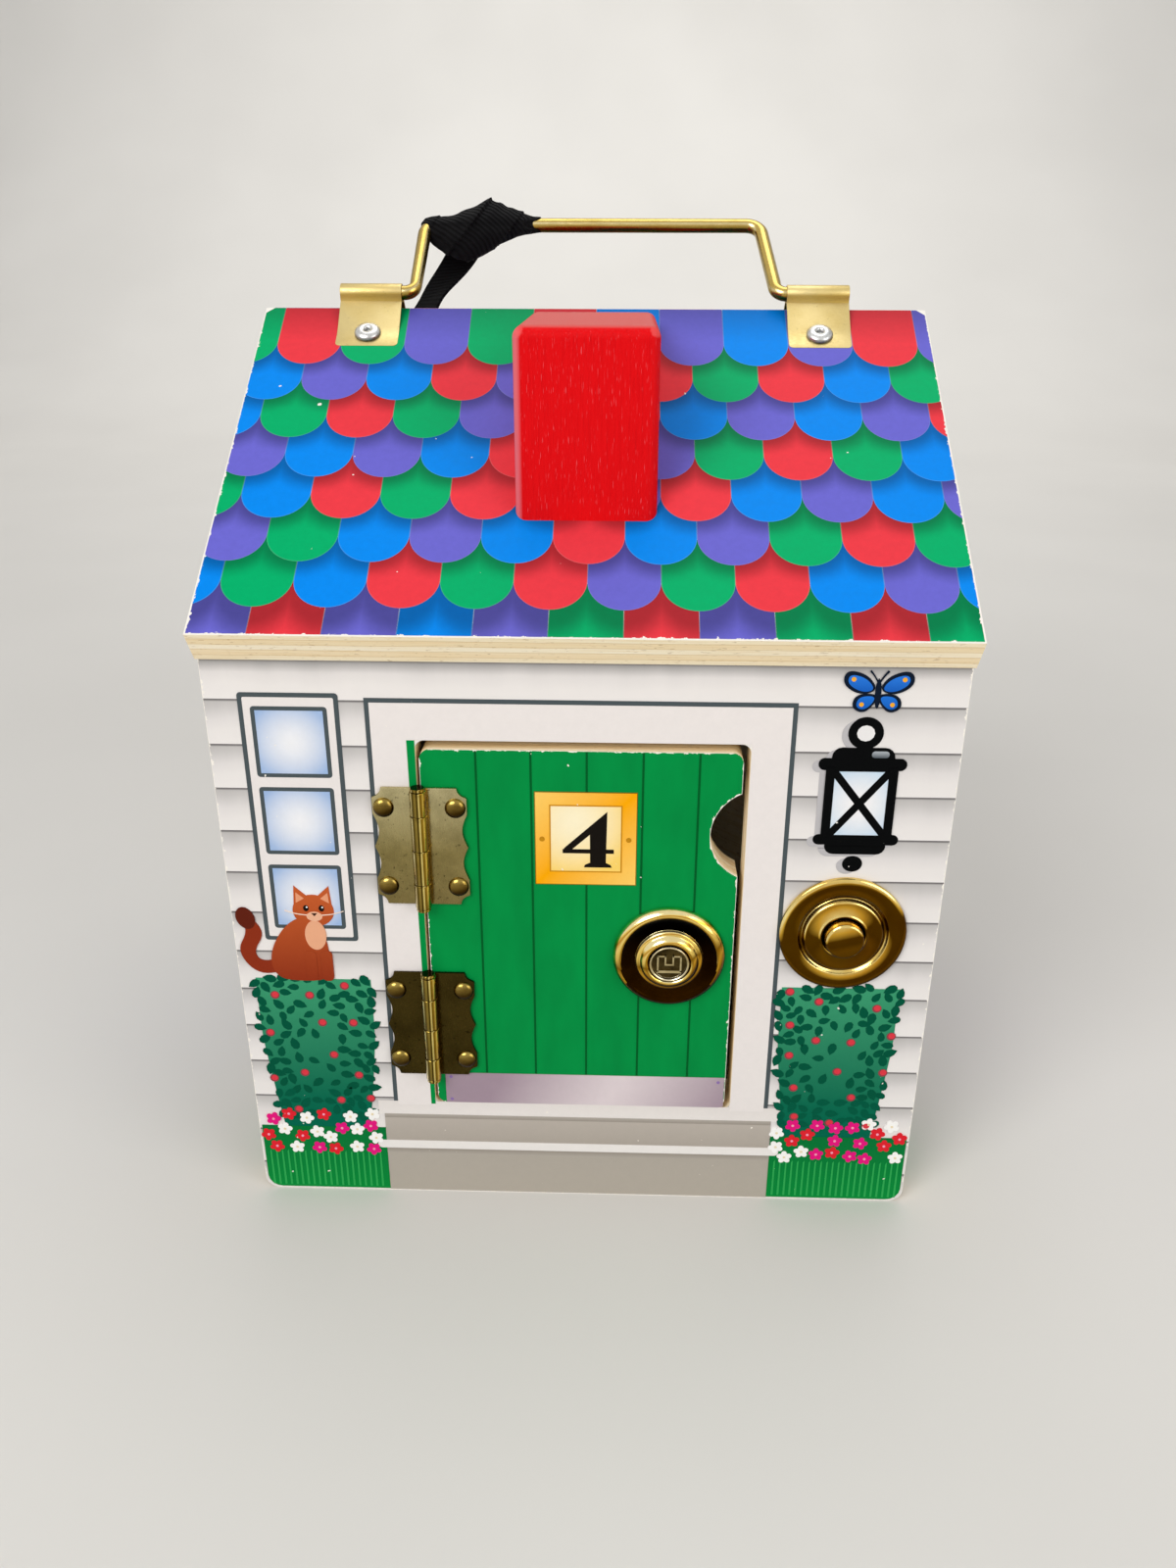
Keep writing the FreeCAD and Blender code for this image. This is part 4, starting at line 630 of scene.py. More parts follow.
dress(moulded("black_abs", "#1C1D1F"), "battery_box", "battery_cover", "bell_switches")
dress(moulded("cell_sleeve", "#3C6E58", rough=0.3), "batteries")
dress(moulded("green_circuit_board", "#1F6B3F", rough=0.4, grain=0.5), "sound_board")
dress(moulded("lead_sleeve", "#A8232B", rough=0.4), "bell_wires")
dress(metal("speaker_steel", "#8C8F92", "#5E6063", rough=0.4), "speaker")
dress(metal("zinc_plated_screw", "#C9CCCF", "#8F9296", rough=0.3, patch=0.6), "cover_screw")


# Roof. Two 9.5 mm ply boards that meet at the ridge, nailed and glued over the gables. Printed
# paper with fish-scale shingles covers their tops; the sawn edges and eaves are bare.
PITCH, RIDGE, EAVE = 34, 243.037, 121.83
ROW, SCALE = 14.72, 18.1
SHINGLE_INKS = ["#0386E8", "#E63A44", "#6965C8", "#00AA66"]


def roof_place(add, angle):
    """Millimetres on a roof board: x along the ridge, y up the slope to it, z out of the board."""
    pitch = math.radians(PITCH)
    return board_place(add, -PITCH, angle, THICK - math.cos(pitch) * RIDGE, -math.sin(pitch) * RIDGE)


def roof_print(side, angle):
    """Bare ply with a rim of torn white paper round its top face."""
    made, add = finish(f"{side}_roof_ply")
    place = roof_place(add, angle)
    rim = add("Math ABSOLUTE", box_edge(add, place, (0.0, -EAVE / 2, 0.0), (95.5, EAVE / 2, 0.0)))
    printed_board(add, place, "#F3EEE6", rim, 0.35)
    return made


def shingle_ink(side, angle):
    """Printed scales: each has a pale thin rim and lies in the soft shade of the two above it.
    Its attribute holds millimetres from the middle of the scale's own round end."""
    made, add = finish(f"{side}_varnished_shingle_print")
    place = roof_place(add, angle)
    ink = add("Attribute", attribute_name="ink").outputs["Color"]
    spot = add("SeparateXYZ", add("Attribute", attribute_name="scale").outputs["Vector"])
    x, y = add("Math ABSOLUTE", spot.outputs["X"]), spot.outputs["Y"]

    def from_end(across, up):
        """How far a point lies from the middle of a scale's round end, or of its straight sides."""
        flat = add("CombineXYZ", across, add("Math MINIMUM", up, 0.0))
        return add("VectorMath LENGTH", flat)

    over = from_end(add("Math SUBTRACT", x, SCALE / 2), add("Math SUBTRACT", y, ROW))
    under = add("MapRange", over, SCALE / 2, 15.5, 0.48, 1.0, interpolation_type="SMOOTHSTEP")
    # The top course has no scale over it; it darkens evenly towards the ridge.
    on_board = add("SeparateXYZ", place)
    along, up = on_board.outputs["X"], on_board.outputs["Y"]
    shade = add("Mix", spot.outputs["Z"], under, add("MapRange", up, -15.0, 0.0, 1.0, 0.62))
    mottle = add("TexNoise", place, scale=0.5, detail=5.0, roughness=0.7)
    dim = add("Math MULTIPLY", shade, add("MapRange", mottle, 0.3, 0.7, 0.95, 1.03))
    shaded = add("Mix MULTIPLY", 1.0, ink, dim)
    rim = add("MapRange", from_end(x, y), 8.8, 9.0, 0.0, 0.12)
    rimmed = add("Mix MIX", rim, shaded, "#BFE3E0")
    # Torn spots along the eave and the gable edges, up to 1.3 mm deep.
    ragged = add("TexNoise", place, scale=0.5, detail=4.0, roughness=0.7)
    bite = add("MapRange", ragged, 0.54, 0.78, 0.42, 1.3)
    from_side = add("Math SUBTRACT", 95.5, add("Math ABSOLUTE", along))
    low_edge = add("Math MINIMUM", from_side, add("Math ADD", up, EAVE))
    corner = add("Math SUBTRACT", add("Math SUBTRACT", from_side, up), 2.6)
    torn = add("Math LESS_THAN", add("Math MINIMUM", low_edge, corner), bite)
    fleck = add("TexNoise", place, scale=0.4, detail=2.0)
    gone = add("Math MAXIMUM", torn, add("Math GREATER_THAN", fleck, 0.775))
    worn = add("Mix MIX", gone, rimmed, "#F2ECE2")
    rough = add("MapRange", mottle, to_min=0.26, to_max=0.46)
    coat(add, worn, rough, mottle, 0.12, 0.0002, ior=1.47, specular_ior_level=0.04)
    return made


def shingles(side, angle, chance):
    """Nine courses of scales, 18.1 mm wide and 14.72 mm apart, laid from the ridge down."""
    work = bmesh.new()
    ink = work.loops.layers.float_color.new("ink")
    spot = work.verts.layers.float_vector.new("scale")
    above = []
    for row in range(9):
        low = SCALE / 2 - 24.7 - ROW * row
        inks = []
        for column in range(12):
            middle = (column - (6.0 if row % 2 else 5.5)) * SCALE + 0.9
            # A scale takes an ink that neither its neighbour nor the two above it have.
            used = {*inks[-1:], *above[max(column - 1, 0) : column + 1]}
            inks.append(chance.choice([i for i in range(4) if i not in used] or [0]))
            made = bmesh.ops.create_circle(work, cap_ends=True, segments=48, radius=SCALE / 2)["verts"]
            for vert in made:
                if vert.co.y > 0.01:
                    vert.co.y = 24.2 if row == 0 else 14.0
                elif row == 7:
                    vert.co.y = 0.0
                vert[spot] = (vert.co.x, vert.co.y, 1.0 if row == 0 else 0.0)
                # The lowest whole course runs straight down to the eave.
                vert.co.y = -6.0 if row == 7 and vert.co.y < 0.01 else vert.co.y
                vert.co = Vector((middle + vert.co.x, low + vert.co.y, 0.04 + 0.03 * (8 - row)))
            for face in {face for vert in made for face in vert.link_faces}:
                for loop in face.loops:
                    loop[ink] = linear(SHINGLE_INKS[inks[-1]])
        above = inks
    for edge, out in (
        ((95.1, 0, 0), (1, 0, 0)), ((-95.1, 0, 0), (-1, 0, 0)),
        ((0, -0.4, 0), (0, 1, 0)), ((0, 0.35 - EAVE, 0), (0, -1, 0)),
    ):
        everything = work.verts[:] + work.edges[:] + work.faces[:]
        bmesh.ops.bisect_plane(
            work, geom=everything, dist=0.0001, plane_co=edge, plane_no=out, clear_outer=True,
        )
    for vert in new_points(bmesh.ops.extrude_face_region(work, geom=work.faces[:])):
        vert.co.z = -0.05
    tilt = Matrix.Rotation(math.radians(PITCH), 4, "X")
    around = Matrix.Rotation(math.radians(angle), 4, "Z")
    onto = around @ Matrix.Translation((0, 0, RIDGE / 1000)) @ tilt @ Matrix.Scale(0.001, 4)
    piece(f"{side}_shingle_print", "house", work, shingle_ink(side, angle), onto)


for side, angle in (("front", 0), ("back", 180)):
    dress(roof_print(side, angle), f"roof_{side}")
    shingles(side, angle, random.Random(12 + angle))


# Chimney. A solid block of pine with rounded corners, dipped in bright red paint; its edges
# are rubbed to pink, and painted highlights pale its top and its left front edge. It is glued and screwed
# over the front slope.
made, add = finish("red_painted_pine")
place = board_place(add)
away = add("VectorMath ABSOLUTE", add("VectorMath SUBTRACT", place, (0.0, -39.25, 214.0)))
core = add("VectorMath SUBTRACT", away, (15.0, 27.25, 25.84))
past = add("VectorMath MAXIMUM", core, (0.0, 0.0, 0.0))
round_off = add("VectorMath DOT_PRODUCT", past, (1.0, 1.0, 1.0)).outputs["Value"]
drawn_out = add("VectorMath MULTIPLY", place, (2.2, 2.2, 0.09))
grain = add("TexNoise", drawn_out, scale=1.0, detail=6.0, roughness=0.65)
blotch = add("TexNoise", place, scale=0.35, detail=5.0, roughness=0.7)
rubbed = add("Math MULTIPLY_ADD", blotch, 1.3, round_off)
paint = add("ValToRGB", grain, stops=[(0.3, "#D00008"), (0.45, "#DE0008"), (0.7, "#E4040C")])
# Fine pale scores run up and down the grain, and a painted highlight runs along the rounded edge that faces
# the left and front.
thin = add("VectorMath MULTIPLY", place, (5.5, 5.5, 0.34))
score = add("TexNoise", thin, scale=1.0, detail=1.5)
scored = add("MapRange", score, 0.66, 0.74, to_max=0.36)
# Painted highlight on the rounded edge that faces the key light, at the left front.
normal = add("NewGeometry").outputs["Normal"]
facing_key_light = add("VectorMath DOT_PRODUCT", normal, (-0.86, -0.44, 0.26)).outputs["Value"]
on_edge = add("MapRange", round_off, 3.15, 3.8, to_max=0.75)
rub = add("Math MULTIPLY", add("MapRange", facing_key_light, 0.7, 0.94), on_edge)
paint = add("Mix MIX", add("Math MAXIMUM", scored, rub), paint, "#F4848C")
# Painted highlight: the top face is paler where it looks up.
up = add("SeparateXYZ", normal).outputs["Z"]
top_highlighted = add("Mix MIX", add("MapRange", up, 0.75, 0.95, to_max=0.55), paint, "#DC7F78")
colour = add("Mix MIX", add("MapRange", rubbed, 5.0, 5.5, to_max=0.6), top_highlighted, "#F0605E")
rough = add("MapRange", grain, to_min=0.34, to_max=0.62)
coat(add, colour, rough, grain, 0.4, 0.0004, ior=1.48, specular_ior_level=0.1)
dress(made, "chimney")


# Doors. A 9.5 mm ply panel each, sawn with rounded corners and a finger notch, the outer face
# printed with planks, a kick plate and a house number, and chipped white along its edges.
def plank_door(side, angle):
    """Solid printed colour, a little deeper in soft clouds, on bare-edged ply."""
    made, add = finish(f"{side}_plank_print")
    place = wall_place(add, angle)
    drawn_out = add("VectorMath MULTIPLY", place, (1.0, 0.3, 1.0))
    cloud = add("TexNoise", drawn_out, scale=0.14, detail=5.0)
    tone = add("MapRange", cloud, 0.3, 0.7, 0.9, 1.08)
    planks = add("Mix MULTIPLY", 1.0, DOOR_INKS[side], tone)
    rim = add("Math MULTIPLY", box_edge(add, place, (-0.4, 88.3, 0.0), (41.2, 55.3, 0.0)), -1.0)
    flat = add("VectorMath MULTIPLY", place, (1.0, 1.0, 0.0))
    far = add("VectorMath DISTANCE", flat, (46.4, 120.4, 0.0))
    edge = add("Math MINIMUM", rim, add("Math SUBTRACT", far, 13.2))
    printed_board(add, place, planks, edge, 0.75)
    return made


def numeral(art, number, x, y):
    """A bold upright numeral with hair lines and flat feet, 16 mm tall."""
    def filled(*spots):
        stamp(art, black, 7, points=near(x, y, *spots))

    def stroke(*spots):
        pen(art, black, 7, near(x, y, *spots))

    def dot(across, up, radius):
        stamp(art, black, 8, oval=(x + across, y + up, radius, radius))

    black = "#16120E"
    if number == 4:
        filled((0.9, -7.6), (5.0, -7.6), (5.3, 8.0), (0.8, 3.2))
        filled((-6.3, -4.0), (-5.9, -2.6), (5.3, 8.0), (3.9, 4.2), (-3.9, -3.0))
        filled((-6.3, -4.1), (7.1, -4.1), (7.1, -2.9), (-6.3, -2.9))
        filled((-0.7, -8.2), (6.6, -8.2), (6.3, -7.5), (5.2, -6.9), (0.7, -6.9), (-0.5, -7.5))
    elif number == 1:
        filled((-1.6, -7.6), (2.0, -7.6), (2.0, 7.9), (-1.6, 7.9))
        filled((-5.0, 4.6), (-1.6, 5.6), (2.0, 8.0), (-0.2, 8.0), (-4.6, 5.9))
        filled((-4.6, -8.2), (5.0, -8.2), (4.7, -7.5), (2.0, -6.8), (-1.6, -6.8), (-4.3, -7.5))
    elif number == 2:
        stroke(
            (-4.4, 3.6, 1.2), (-4.2, 6.4, 1.4), (-0.6, 8.2, 1.6), (3.6, 6.4, 3.6), (3.6, 2.2, 3.8),
            (-0.6, -2.2, 1.8), (-4.8, -6.6, 1.2),
        )
        dot(-4.0, 3.8, 1.6)
        stroke((-5.4, -6.9, 1.8), (-1.0, -6.2, 3.0), (3.2, -7.4, 2.6), (5.2, -5.2, 1.0))
    else:
        stroke(
            (-4.4, 4.6, 1.2), (-3.4, 7.6, 1.2), (1.0, 8.2, 1.4), (4.0, 5.2, 3.4), (2.8, 1.4, 2.0),
            (-1.4, 0.8, 0.9),
        )
        stroke(
            (-1.4, 0.9, 0.9), (3.6, 0.4, 2.0), (4.9, -3.6, 4.0), (1.6, -7.6, 1.6), (-3.4, -7.8, 1.3),
            (-4.9, -4.8, 1.2),
        )
        dot(-4.0, 4.5, 1.5)
        dot(-4.4, -4.6, 1.6)


def door_print(art, number, dark):
    """Plank joints 14.2 mm apart, a brass-yellow number plate and a lilac-grey kick plate."""
    for joint in (-27.2, -13.2, 1.1, 15.5, 29.8):
        stamp(art, dark, 1, box=(joint - 0.26, 43.8, joint + 0.26, 143.3))
    left, low, right, high = -12.2, 105.6, 14.0, 132.1

    def inset(side, above=None):
        return left + side, low + side, right - side, high - (side if above is None else above)

    # Deep at two opposite corners and pale across the others, like lit brass.
    amber = blended("#FBD26E", "#F9A800", lambda x, y: 1 - 0.85 * abs((x - left) / 26.2 - (y - low) / 26.5))
    cream = glow("#FBEFCB", "#F9D268", left + 10, high - 8, 16)
    stamp(art, "#8A6410", 2, box=inset(-0.2))
    stamp(art, amber, 3, box=inset(0.0), cuts=7)
    stamp(art, "#C98A1C", 4, box=inset(3.6, 3.4))
    stamp(art, cream, 5, box=inset(4.0, 3.8), cuts=7)
    for dot in (left + 1.7, right - 1.9):
        stamp(art, "#BE8418", 6, oval=(dot, low + 13.2, 0.7, 0.7))
    numeral(art, number, 1.15, 118.9)
    # A soft light band right of the middle, leaning a little.
    sheen = blended("#DCCFD1", "#A08C98", lambda x, y: (abs(x - 9.0 - 0.5 * (y - 38)) / 34) ** 1.1)

    def trimmed(x, y):
        """The kick plate's outer lower corner is cut round with the door's."""
        return x - (1.3 if x > 38 and y < 33.5 else 0.0), y

    stamp(art, sheen, 2, box=(-39.2, 33.2, 40.5, 43.6), cuts=24, shift=trimmed)
    for x, y in ((-37.6, 42.2), (-37.6, 34.4), (38.8, 42.0)):
        stamp(art, "#8B6FA8", 3, oval=(x, y, 0.5, 0.5))


DOORS = {
    "front": (4, "green", "#005A26"), "right": (1, "purple", "#3C2B76"),
    "back": (2, "red", "#8E141B"), "left": (3, "blue", "#0B4F9C"),
}
for side, angle in SIDES.items():
    number, colour_name, dark = DOORS[side]
    door = f"{side}_door"
    dress(plank_door(side, angle), door)
    art = bmesh.new()
    door_print(art, number, dark)
    picture_place = side_turn(side, WALL - SUNK)
    piece(f"{door}_print", door, art, paper_print, picture_place)


# Hinges. Two stamped brass butt hinges to a door, with waved outer edges: each leaf is held by
# two dome-headed rivets, and its rolled knuckles turn on a headed pin.
HINGE_X, PIN_OUT, HINGE_FEET = -42.05, 2.6, (43.6, 99.2)
TALL, JOINTS = 34.0, (0.0, 7.1, 17.0, 26.9, 34.0)


def ease(work, offset, segments=2, angle=35):
    """Rounds the edges where two faces meet more sharply than the angle."""
    sharp = [
        edge for edge in work.edges
        if len(edge.link_faces) == 2 and edge.calc_face_angle() > math.radians(angle)
    ]
    bmesh.ops.bevel(
        work, geom=sharp, offset=offset, offset_type="OFFSET", affect="EDGES", segments=segments,
        profile=0.5, material=-1, clamp_overlap=True,
    )


def gather(whole, part, place):
    """Adds one mesh work to another, at its place, and lets it go."""
    bmesh.ops.transform(part, matrix=place, verts=part.verts)
    flat = bpy.data.meshes.new("part")
    part.to_mesh(flat)
    part.free()
    whole.from_mesh(flat)
    bpy.data.meshes.remove(flat)


def block(work, size, middle):
    """Adds a plain block to a mesh work."""
    made = bmesh.ops.create_cube(work, size=1.0)["verts"]
    bmesh.ops.scale(work, vec=size, verts=made)
    bmesh.ops.translate(work, vec=middle, verts=made)


def hinge_leaf(work, foot, hand):
    """One waved leaf of 1 mm sheet; its hand is -1 on the wall and 1 on the door."""
    made = bmesh.ops.create_grid(work, x_segments=6, y_segments=84, size=0.5)["verts"]
    for vert in made:
        across, y = vert.co.x + 0.5, (vert.co.y + 0.5) * TALL
        from_end = min(y, TALL - y)
        # Hollow corners, a straight run, and a shallow scallop on each side of a middle point.
        if from_end < 2.6:
            reach = 9.95 - 0.95 * math.sqrt(2.6**2 - from_end**2)
        else:
            reach = 9.95 - 1.35 * math.sin(math.pi * max(0.0, from_end - 7.5) / 9.5)
        vert.co = Vector((hand * (1.5 + across * (reach + 0.85)), foot + y, 0))
    sheet = list({face for vert in made for face in vert.link_faces})
    raised = bmesh.ops.extrude_face_region(work, geom=sheet)
    bmesh.ops.translate(work, vec=(0, 0, 1.0), verts=new_points(raised))
    for number, (low, high) in enumerate(zip(JOINTS, JOINTS[1:])):
        if (number % 2 == 0) == (hand < 0):
            middle = foot + (low + high) / 2
            block(work, (3.4, high - low - 0.2, 0.86), (hand * 1.7, middle, 0.5))
            rod(work, 2.12, high - low - 0.18, (0, middle, PIN_OUT), 64)


def rod(work, radius, length, middle, segments=32):
    """A plain upright bar on a wall's face."""
    made = bmesh.ops.create_cone(
        work, cap_ends=True, segments=segments, radius1=radius, radius2=radius, depth=length,
    )["verts"]
    upright = Matrix.Rotation(math.radians(90), 3, "X")
    bmesh.ops.rotate(work, cent=(0, 0, 0), matrix=upright, verts=made)
    bmesh.ops.translate(work, vec=middle, verts=made)


def dome_rivet(work, x, y):
    """A rivet's domed head on a thin shoulder."""
    radius, dome = 2.75, 1.45
    made = bmesh.ops.create_uvsphere(work, u_segments=32, v_segments=18, radius=radius)["verts"]
    for vert in made:
        away = vert.co.to_2d().length
        if vert.co.z >= 0:
            vert.co.z *= dome / radius
        elif away > 1e-6:
            vert.co = Vector((vert.co.x / away * radius, vert.co.y / away * radius, -0.9))
        else:
            vert.co.z = -0.9
    bmesh.ops.translate(work, vec=(x, y, 1.0), verts=made)
    bmesh.ops.remove_doubles(work, verts=made, dist=0.01)


# A painted reflection makes the leaves paler towards the top of the door and the lower pair dark brown.
hinge_brass = metal(
    "aged_hinge_brass", "#CABF92", "#A59B72", rough=0.26, patch=0.09, brush=(1.0, 1.0, 0.2), spots=0.6,
    look=(0.0, 0.0, 1.0), span=(60.0, 136.0), by_place=True, painted_tones=[
        (0.0, "#5A5030"), (0.22, "#544A2C"), (0.4, "#463E26"), (0.52, "#B0A68A"), (0.72, "#C4BC9E"),
        (1.0, "#FFFFFF"),
    ])
# Painted reflections: the rolled barrels carry bright and dark streaks that run their whole length, set by
# the way each face turns.
knuckle_brass = metal(
    "rolled_knuckle_brass", "#EEE4B8", "#D2C48E", rough=0.16, patch=0.07, brush=(2.0, 2.0, 0.2),
    look=(1.0, 0.0, 0.0), span=(-1.0, 1.0), painted_tones=[
        (0.0, "#8F8458"), (0.07, "#A29566"), (0.11, "#FFFFFF"), (0.17, "#FFF8D8"), (0.21, "#5E5126"),
        (0.3, "#6E6133"), (0.38, "#A39257"), (0.46, "#9A8A50"), (0.5, "#453A16"), (0.56, "#564818"),
        (0.6, "#F0E2A0"), (0.66, "#FFF3C0"), (0.7, "#8A7026"), (0.8, "#9A7E2E"), (0.87, "#F5DC82"),
        (0.95, "#D8B95C"), (1.0, "#7A6424"),
    ])
# Painted light: the rivet domes are pale where they look up and dark brown where they look ahead or down.
rivet_brass = metal("rivet_brass", "#C8B884", "#AA9968", rough=0.2, patch=0.3, painted_tones=[
    (0.0, "#3A2E14"), (0.3, "#5C4B26"), (0.5, "#8A7A50"), (0.72, "#A89868"), (0.92, "#D2C694"),
])


def hinge_piece(name, body, sides, hand, leaf_node, rivet_node=None):
    """The leaves of one hand with their knuckles, and their rivets, for the doors of these sides."""
    leaves, rivets = bmesh.new(), bmesh.new()
    for side in sides:
        onto = side_turn(side) @ Matrix.Translation((HINGE_X, 0, 0))
        sheet, heads = bmesh.new(), bmesh.new()
        for foot in HINGE_FEET:
            hinge_leaf(sheet, foot, hand)
            for rise in (5.5, 28.4):
                dome_rivet(heads, hand * 9.3, foot + rise)
        ease(sheet, 0.28)
        gather(leaves, sheet, onto)
        gather(rivets, heads, onto)
    leaf = piece(f"{name}_leaf", body, leaves, hinge_brass, smooth=35)
    # The knuckles are burnished by use, so they take the brighter brass with its painted reflection streaks.
    leaf.data.materials.append(knuckle_brass)
    for face in leaf.data.polygons:
        if max(abs(face.center.x), abs(face.center.y)) > 0.09625:
            face.material_index = 1
    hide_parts(leaf_node)
    made = piece(f"{name}_rivets", body, rivets, rivet_brass, smooth=35)
    if rivet_node:
        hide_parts(rivet_node)


hinge_piece("wall_hinges", "house", list(SIDES), -1, "hinge_wall_leaves", "hinge_wall_rivets")
for side in SIDES:
    hinge_piece(f"{side}_door_hinges", f"{side}_door", [side], 1, f"{side}_hinge_leaves")

pins = bmesh.new()
for side in SIDES:
    part = bmesh.new()
    for foot in HINGE_FEET:
        rod(part, 1.3, TALL + 0.4, (HINGE_X, foot + TALL / 2, PIN_OUT))
        for end in (foot - 0.42, foot + TALL + 0.42):
            rod(part, 1.9, 0.86, (HINGE_X, end, PIN_OUT))
        for joint in JOINTS[1:-1]:
            rod(part, 2.3, 0.4, (HINGE_X, foot + joint, PIN_OUT), 48)
    ease(part, 0.12, 1, 60)
    gather(pins, part, side_turn(side))
made = piece("hinge_pins_turned", "house", pins, knuckle_brass, smooth=40)
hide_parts("hinge_pins")


# Locks. A spun and lacquered brass rose with a rolled rim, a dished middle and a raised boss, on
# each door; a nickel plug with a square keyway turns in it, and a zinc cam behind the door.
LOCK_SPOT = (23.5, 84.0, 0.0)


def spun(outline, segments, ease_by=0.0):
    """A round solid turned from its outline of radius and height, in millimetres."""
    work = bmesh.new()
    verts = [work.verts.new((radius, 0, height)) for radius, height in outline]
    edges = [work.edges.new(pair) for pair in zip(verts, verts[1:])]
    bmesh.ops.spin(
        work, geom=verts + edges, cent=(0, 0, 0), axis=(0, 0, 1), angle=math.tau, steps=segments,
        use_merge=True,
    )
    bmesh.ops.remove_doubles(work, verts=work.verts, dist=0.0005)
    if ease_by:
        ease(work, ease_by, 3, 25)
    return work


# Painted light and reflection: the brass is golden where a face looks up, and nearly black on the flat and
# the underside.
rose_brass = metal(
    "lacquered_rose_brass", "#FFF0B4", "#E6C876", rough=0.12, patch=0.07, brush=(1.0, 0.3, 1.0),
    low=0.5, high=0.8, painted_tones=[
        (0.0, "#241804"), (0.2, "#6B4E12"), (0.32, "#A37C22"), (0.42, "#D0A848"), (0.5, "#8A6A20"),
        (0.6, "#EED890"), (0.72, "#FAEAB4"), (0.84, "#C8963C"), (0.93, "#FFE9A0"), (1.0, "#FFFFFF"),
    ])
# Painted dark reflection: the dish is dark brown low down and nearly black towards its top.
dish_brass = metal(
    "dark_dished_brass", "#8A6824", "#5A4010", rough=0.1, patch=0.08, low=0.35, high=0.62,
    look=(0.0, 0.0, 1.0), span=(71.0, 97.0), by_place=True,
    painted_tones=[(0.0, "#6A5430"), (0.3, "#5C4A26"), (0.6, "#3A2E1A"), (0.8, "#100C08"), (1.0, "#060404")],
)
# Painted shade: the plug is pale where its faces look up and dark where they look down.
plug_nickel = metal(
    "smoky_nickel_plug", "#F0E6C8", "#C8BC98", rough=0.2, patch=0.3,
    painted_tones=[(0.0, "#4A3F24"), (0.4, "#C9C0A4"), (0.6, "#E6DEC4"), (1.0, "#FFFFFF")],
)
# Painted shade: a dark finish on the plug's sunk face stands in for the keyway's hollow.
keyway_painted_shade = metal("keyway_hollow", "#4E4122", "#2A210F", rough=0.3, patch=0.3)
cam_zinc = metal("zinc_cam", "#B9BDC1", "#84888C", rough=0.38, patch=0.2)
for side in SIDES:
    place = side_turn(side) @ Matrix.Translation(LOCK_SPOT)
    work = spun([
        (0.0, -10.2), (9.1, -10.2), (9.1, -0.02), (14.95, -0.02), (15.15, 0.25), (15.15, 0.75),
        (14.95, 1.35), (14.5, 1.95), (14.0, 2.35), (13.45, 2.6), (13.0, 2.62), (12.7, 2.4), (11.4, 2.1),
        (9.5, 2.0), (9.1, 2.1), (9.05, 2.5), (8.8, 2.95), (8.35, 3.15), (8.0, 3.2), (7.75, 3.45),
        (7.45, 4.0), (7.0, 4.45), (6.45, 4.7), (6.0, 4.65), (5.62, 4.3), (5.55, 2.4), (5.55, -9.0),
        (0.0, -9.0),
    ], 128, 0.12)
    rose = piece(f"{side}_lock_rose", f"{side}_door", work, rose_brass, place, 50)
    rose.data.materials.append(dish_brass)
    # The dish takes a painted dark reflection, and it reaches further out on the lower half.
    middle = place @ Vector((0, 0, 2.2))
    for face in rose.data.polygons:
        below = max(0.0, LOCK_SPOT[1] - face.center.z * 1000)
        if 9.15 < (face.center - middle).length * 1000 < 12.95 + below * 0.1:
            face.material_index = 1
    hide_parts(f"{side}_lock_case")
    plug = spun([
        (0.0, -8.9), (5.4, -8.9), (5.4, 4.55), (5.25, 4.85), (5.0, 4.9), (4.75, 4.7), (4.65, 4.0), (0.0, 4.0),
    ], 80, 0.06)
    # The strokes of the keyway are low nickel strips on the plug's sunk face, and that face is painted dark
    # as the keyway's shade.
    face_at = 4.0
    for left, low, right, high in (
        (-3.3, -2.5, -2.85, 2.4), (2.85, -2.5, 3.3, 2.4), (-3.3, -2.85, 3.3, -2.1), (-3.3, 2.1, -0.9, 2.5),
        (0.9, 2.1, 3.3, 2.5), (-1.25, -0.1, -0.85, 2.5), (0.85, -0.1, 1.25, 2.5), (-1.25, -0.5, 1.25, -0.05),
    ):
        block(plug, (right - left, high - low, 0.9), ((left + right) / 2, (low + high) / 2, face_at))
    plug.normal_update()
    for face in plug.faces:
        spot = face.calc_center_median()
        flat = abs(spot.z - face_at) < 0.05 and abs(face.normal.z) > 0.9
        face.material_index = int(flat and spot.to_2d().length < 4.7)
    made = piece(f"{side}_plug_face", f"{side}_lock", plug, plug_nickel, place, 40)
    made.data.materials.append(keyway_painted_shade)
    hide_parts(f"{side}_lock_plug")
    dress(cam_zinc, f"{side}_lock_cam")


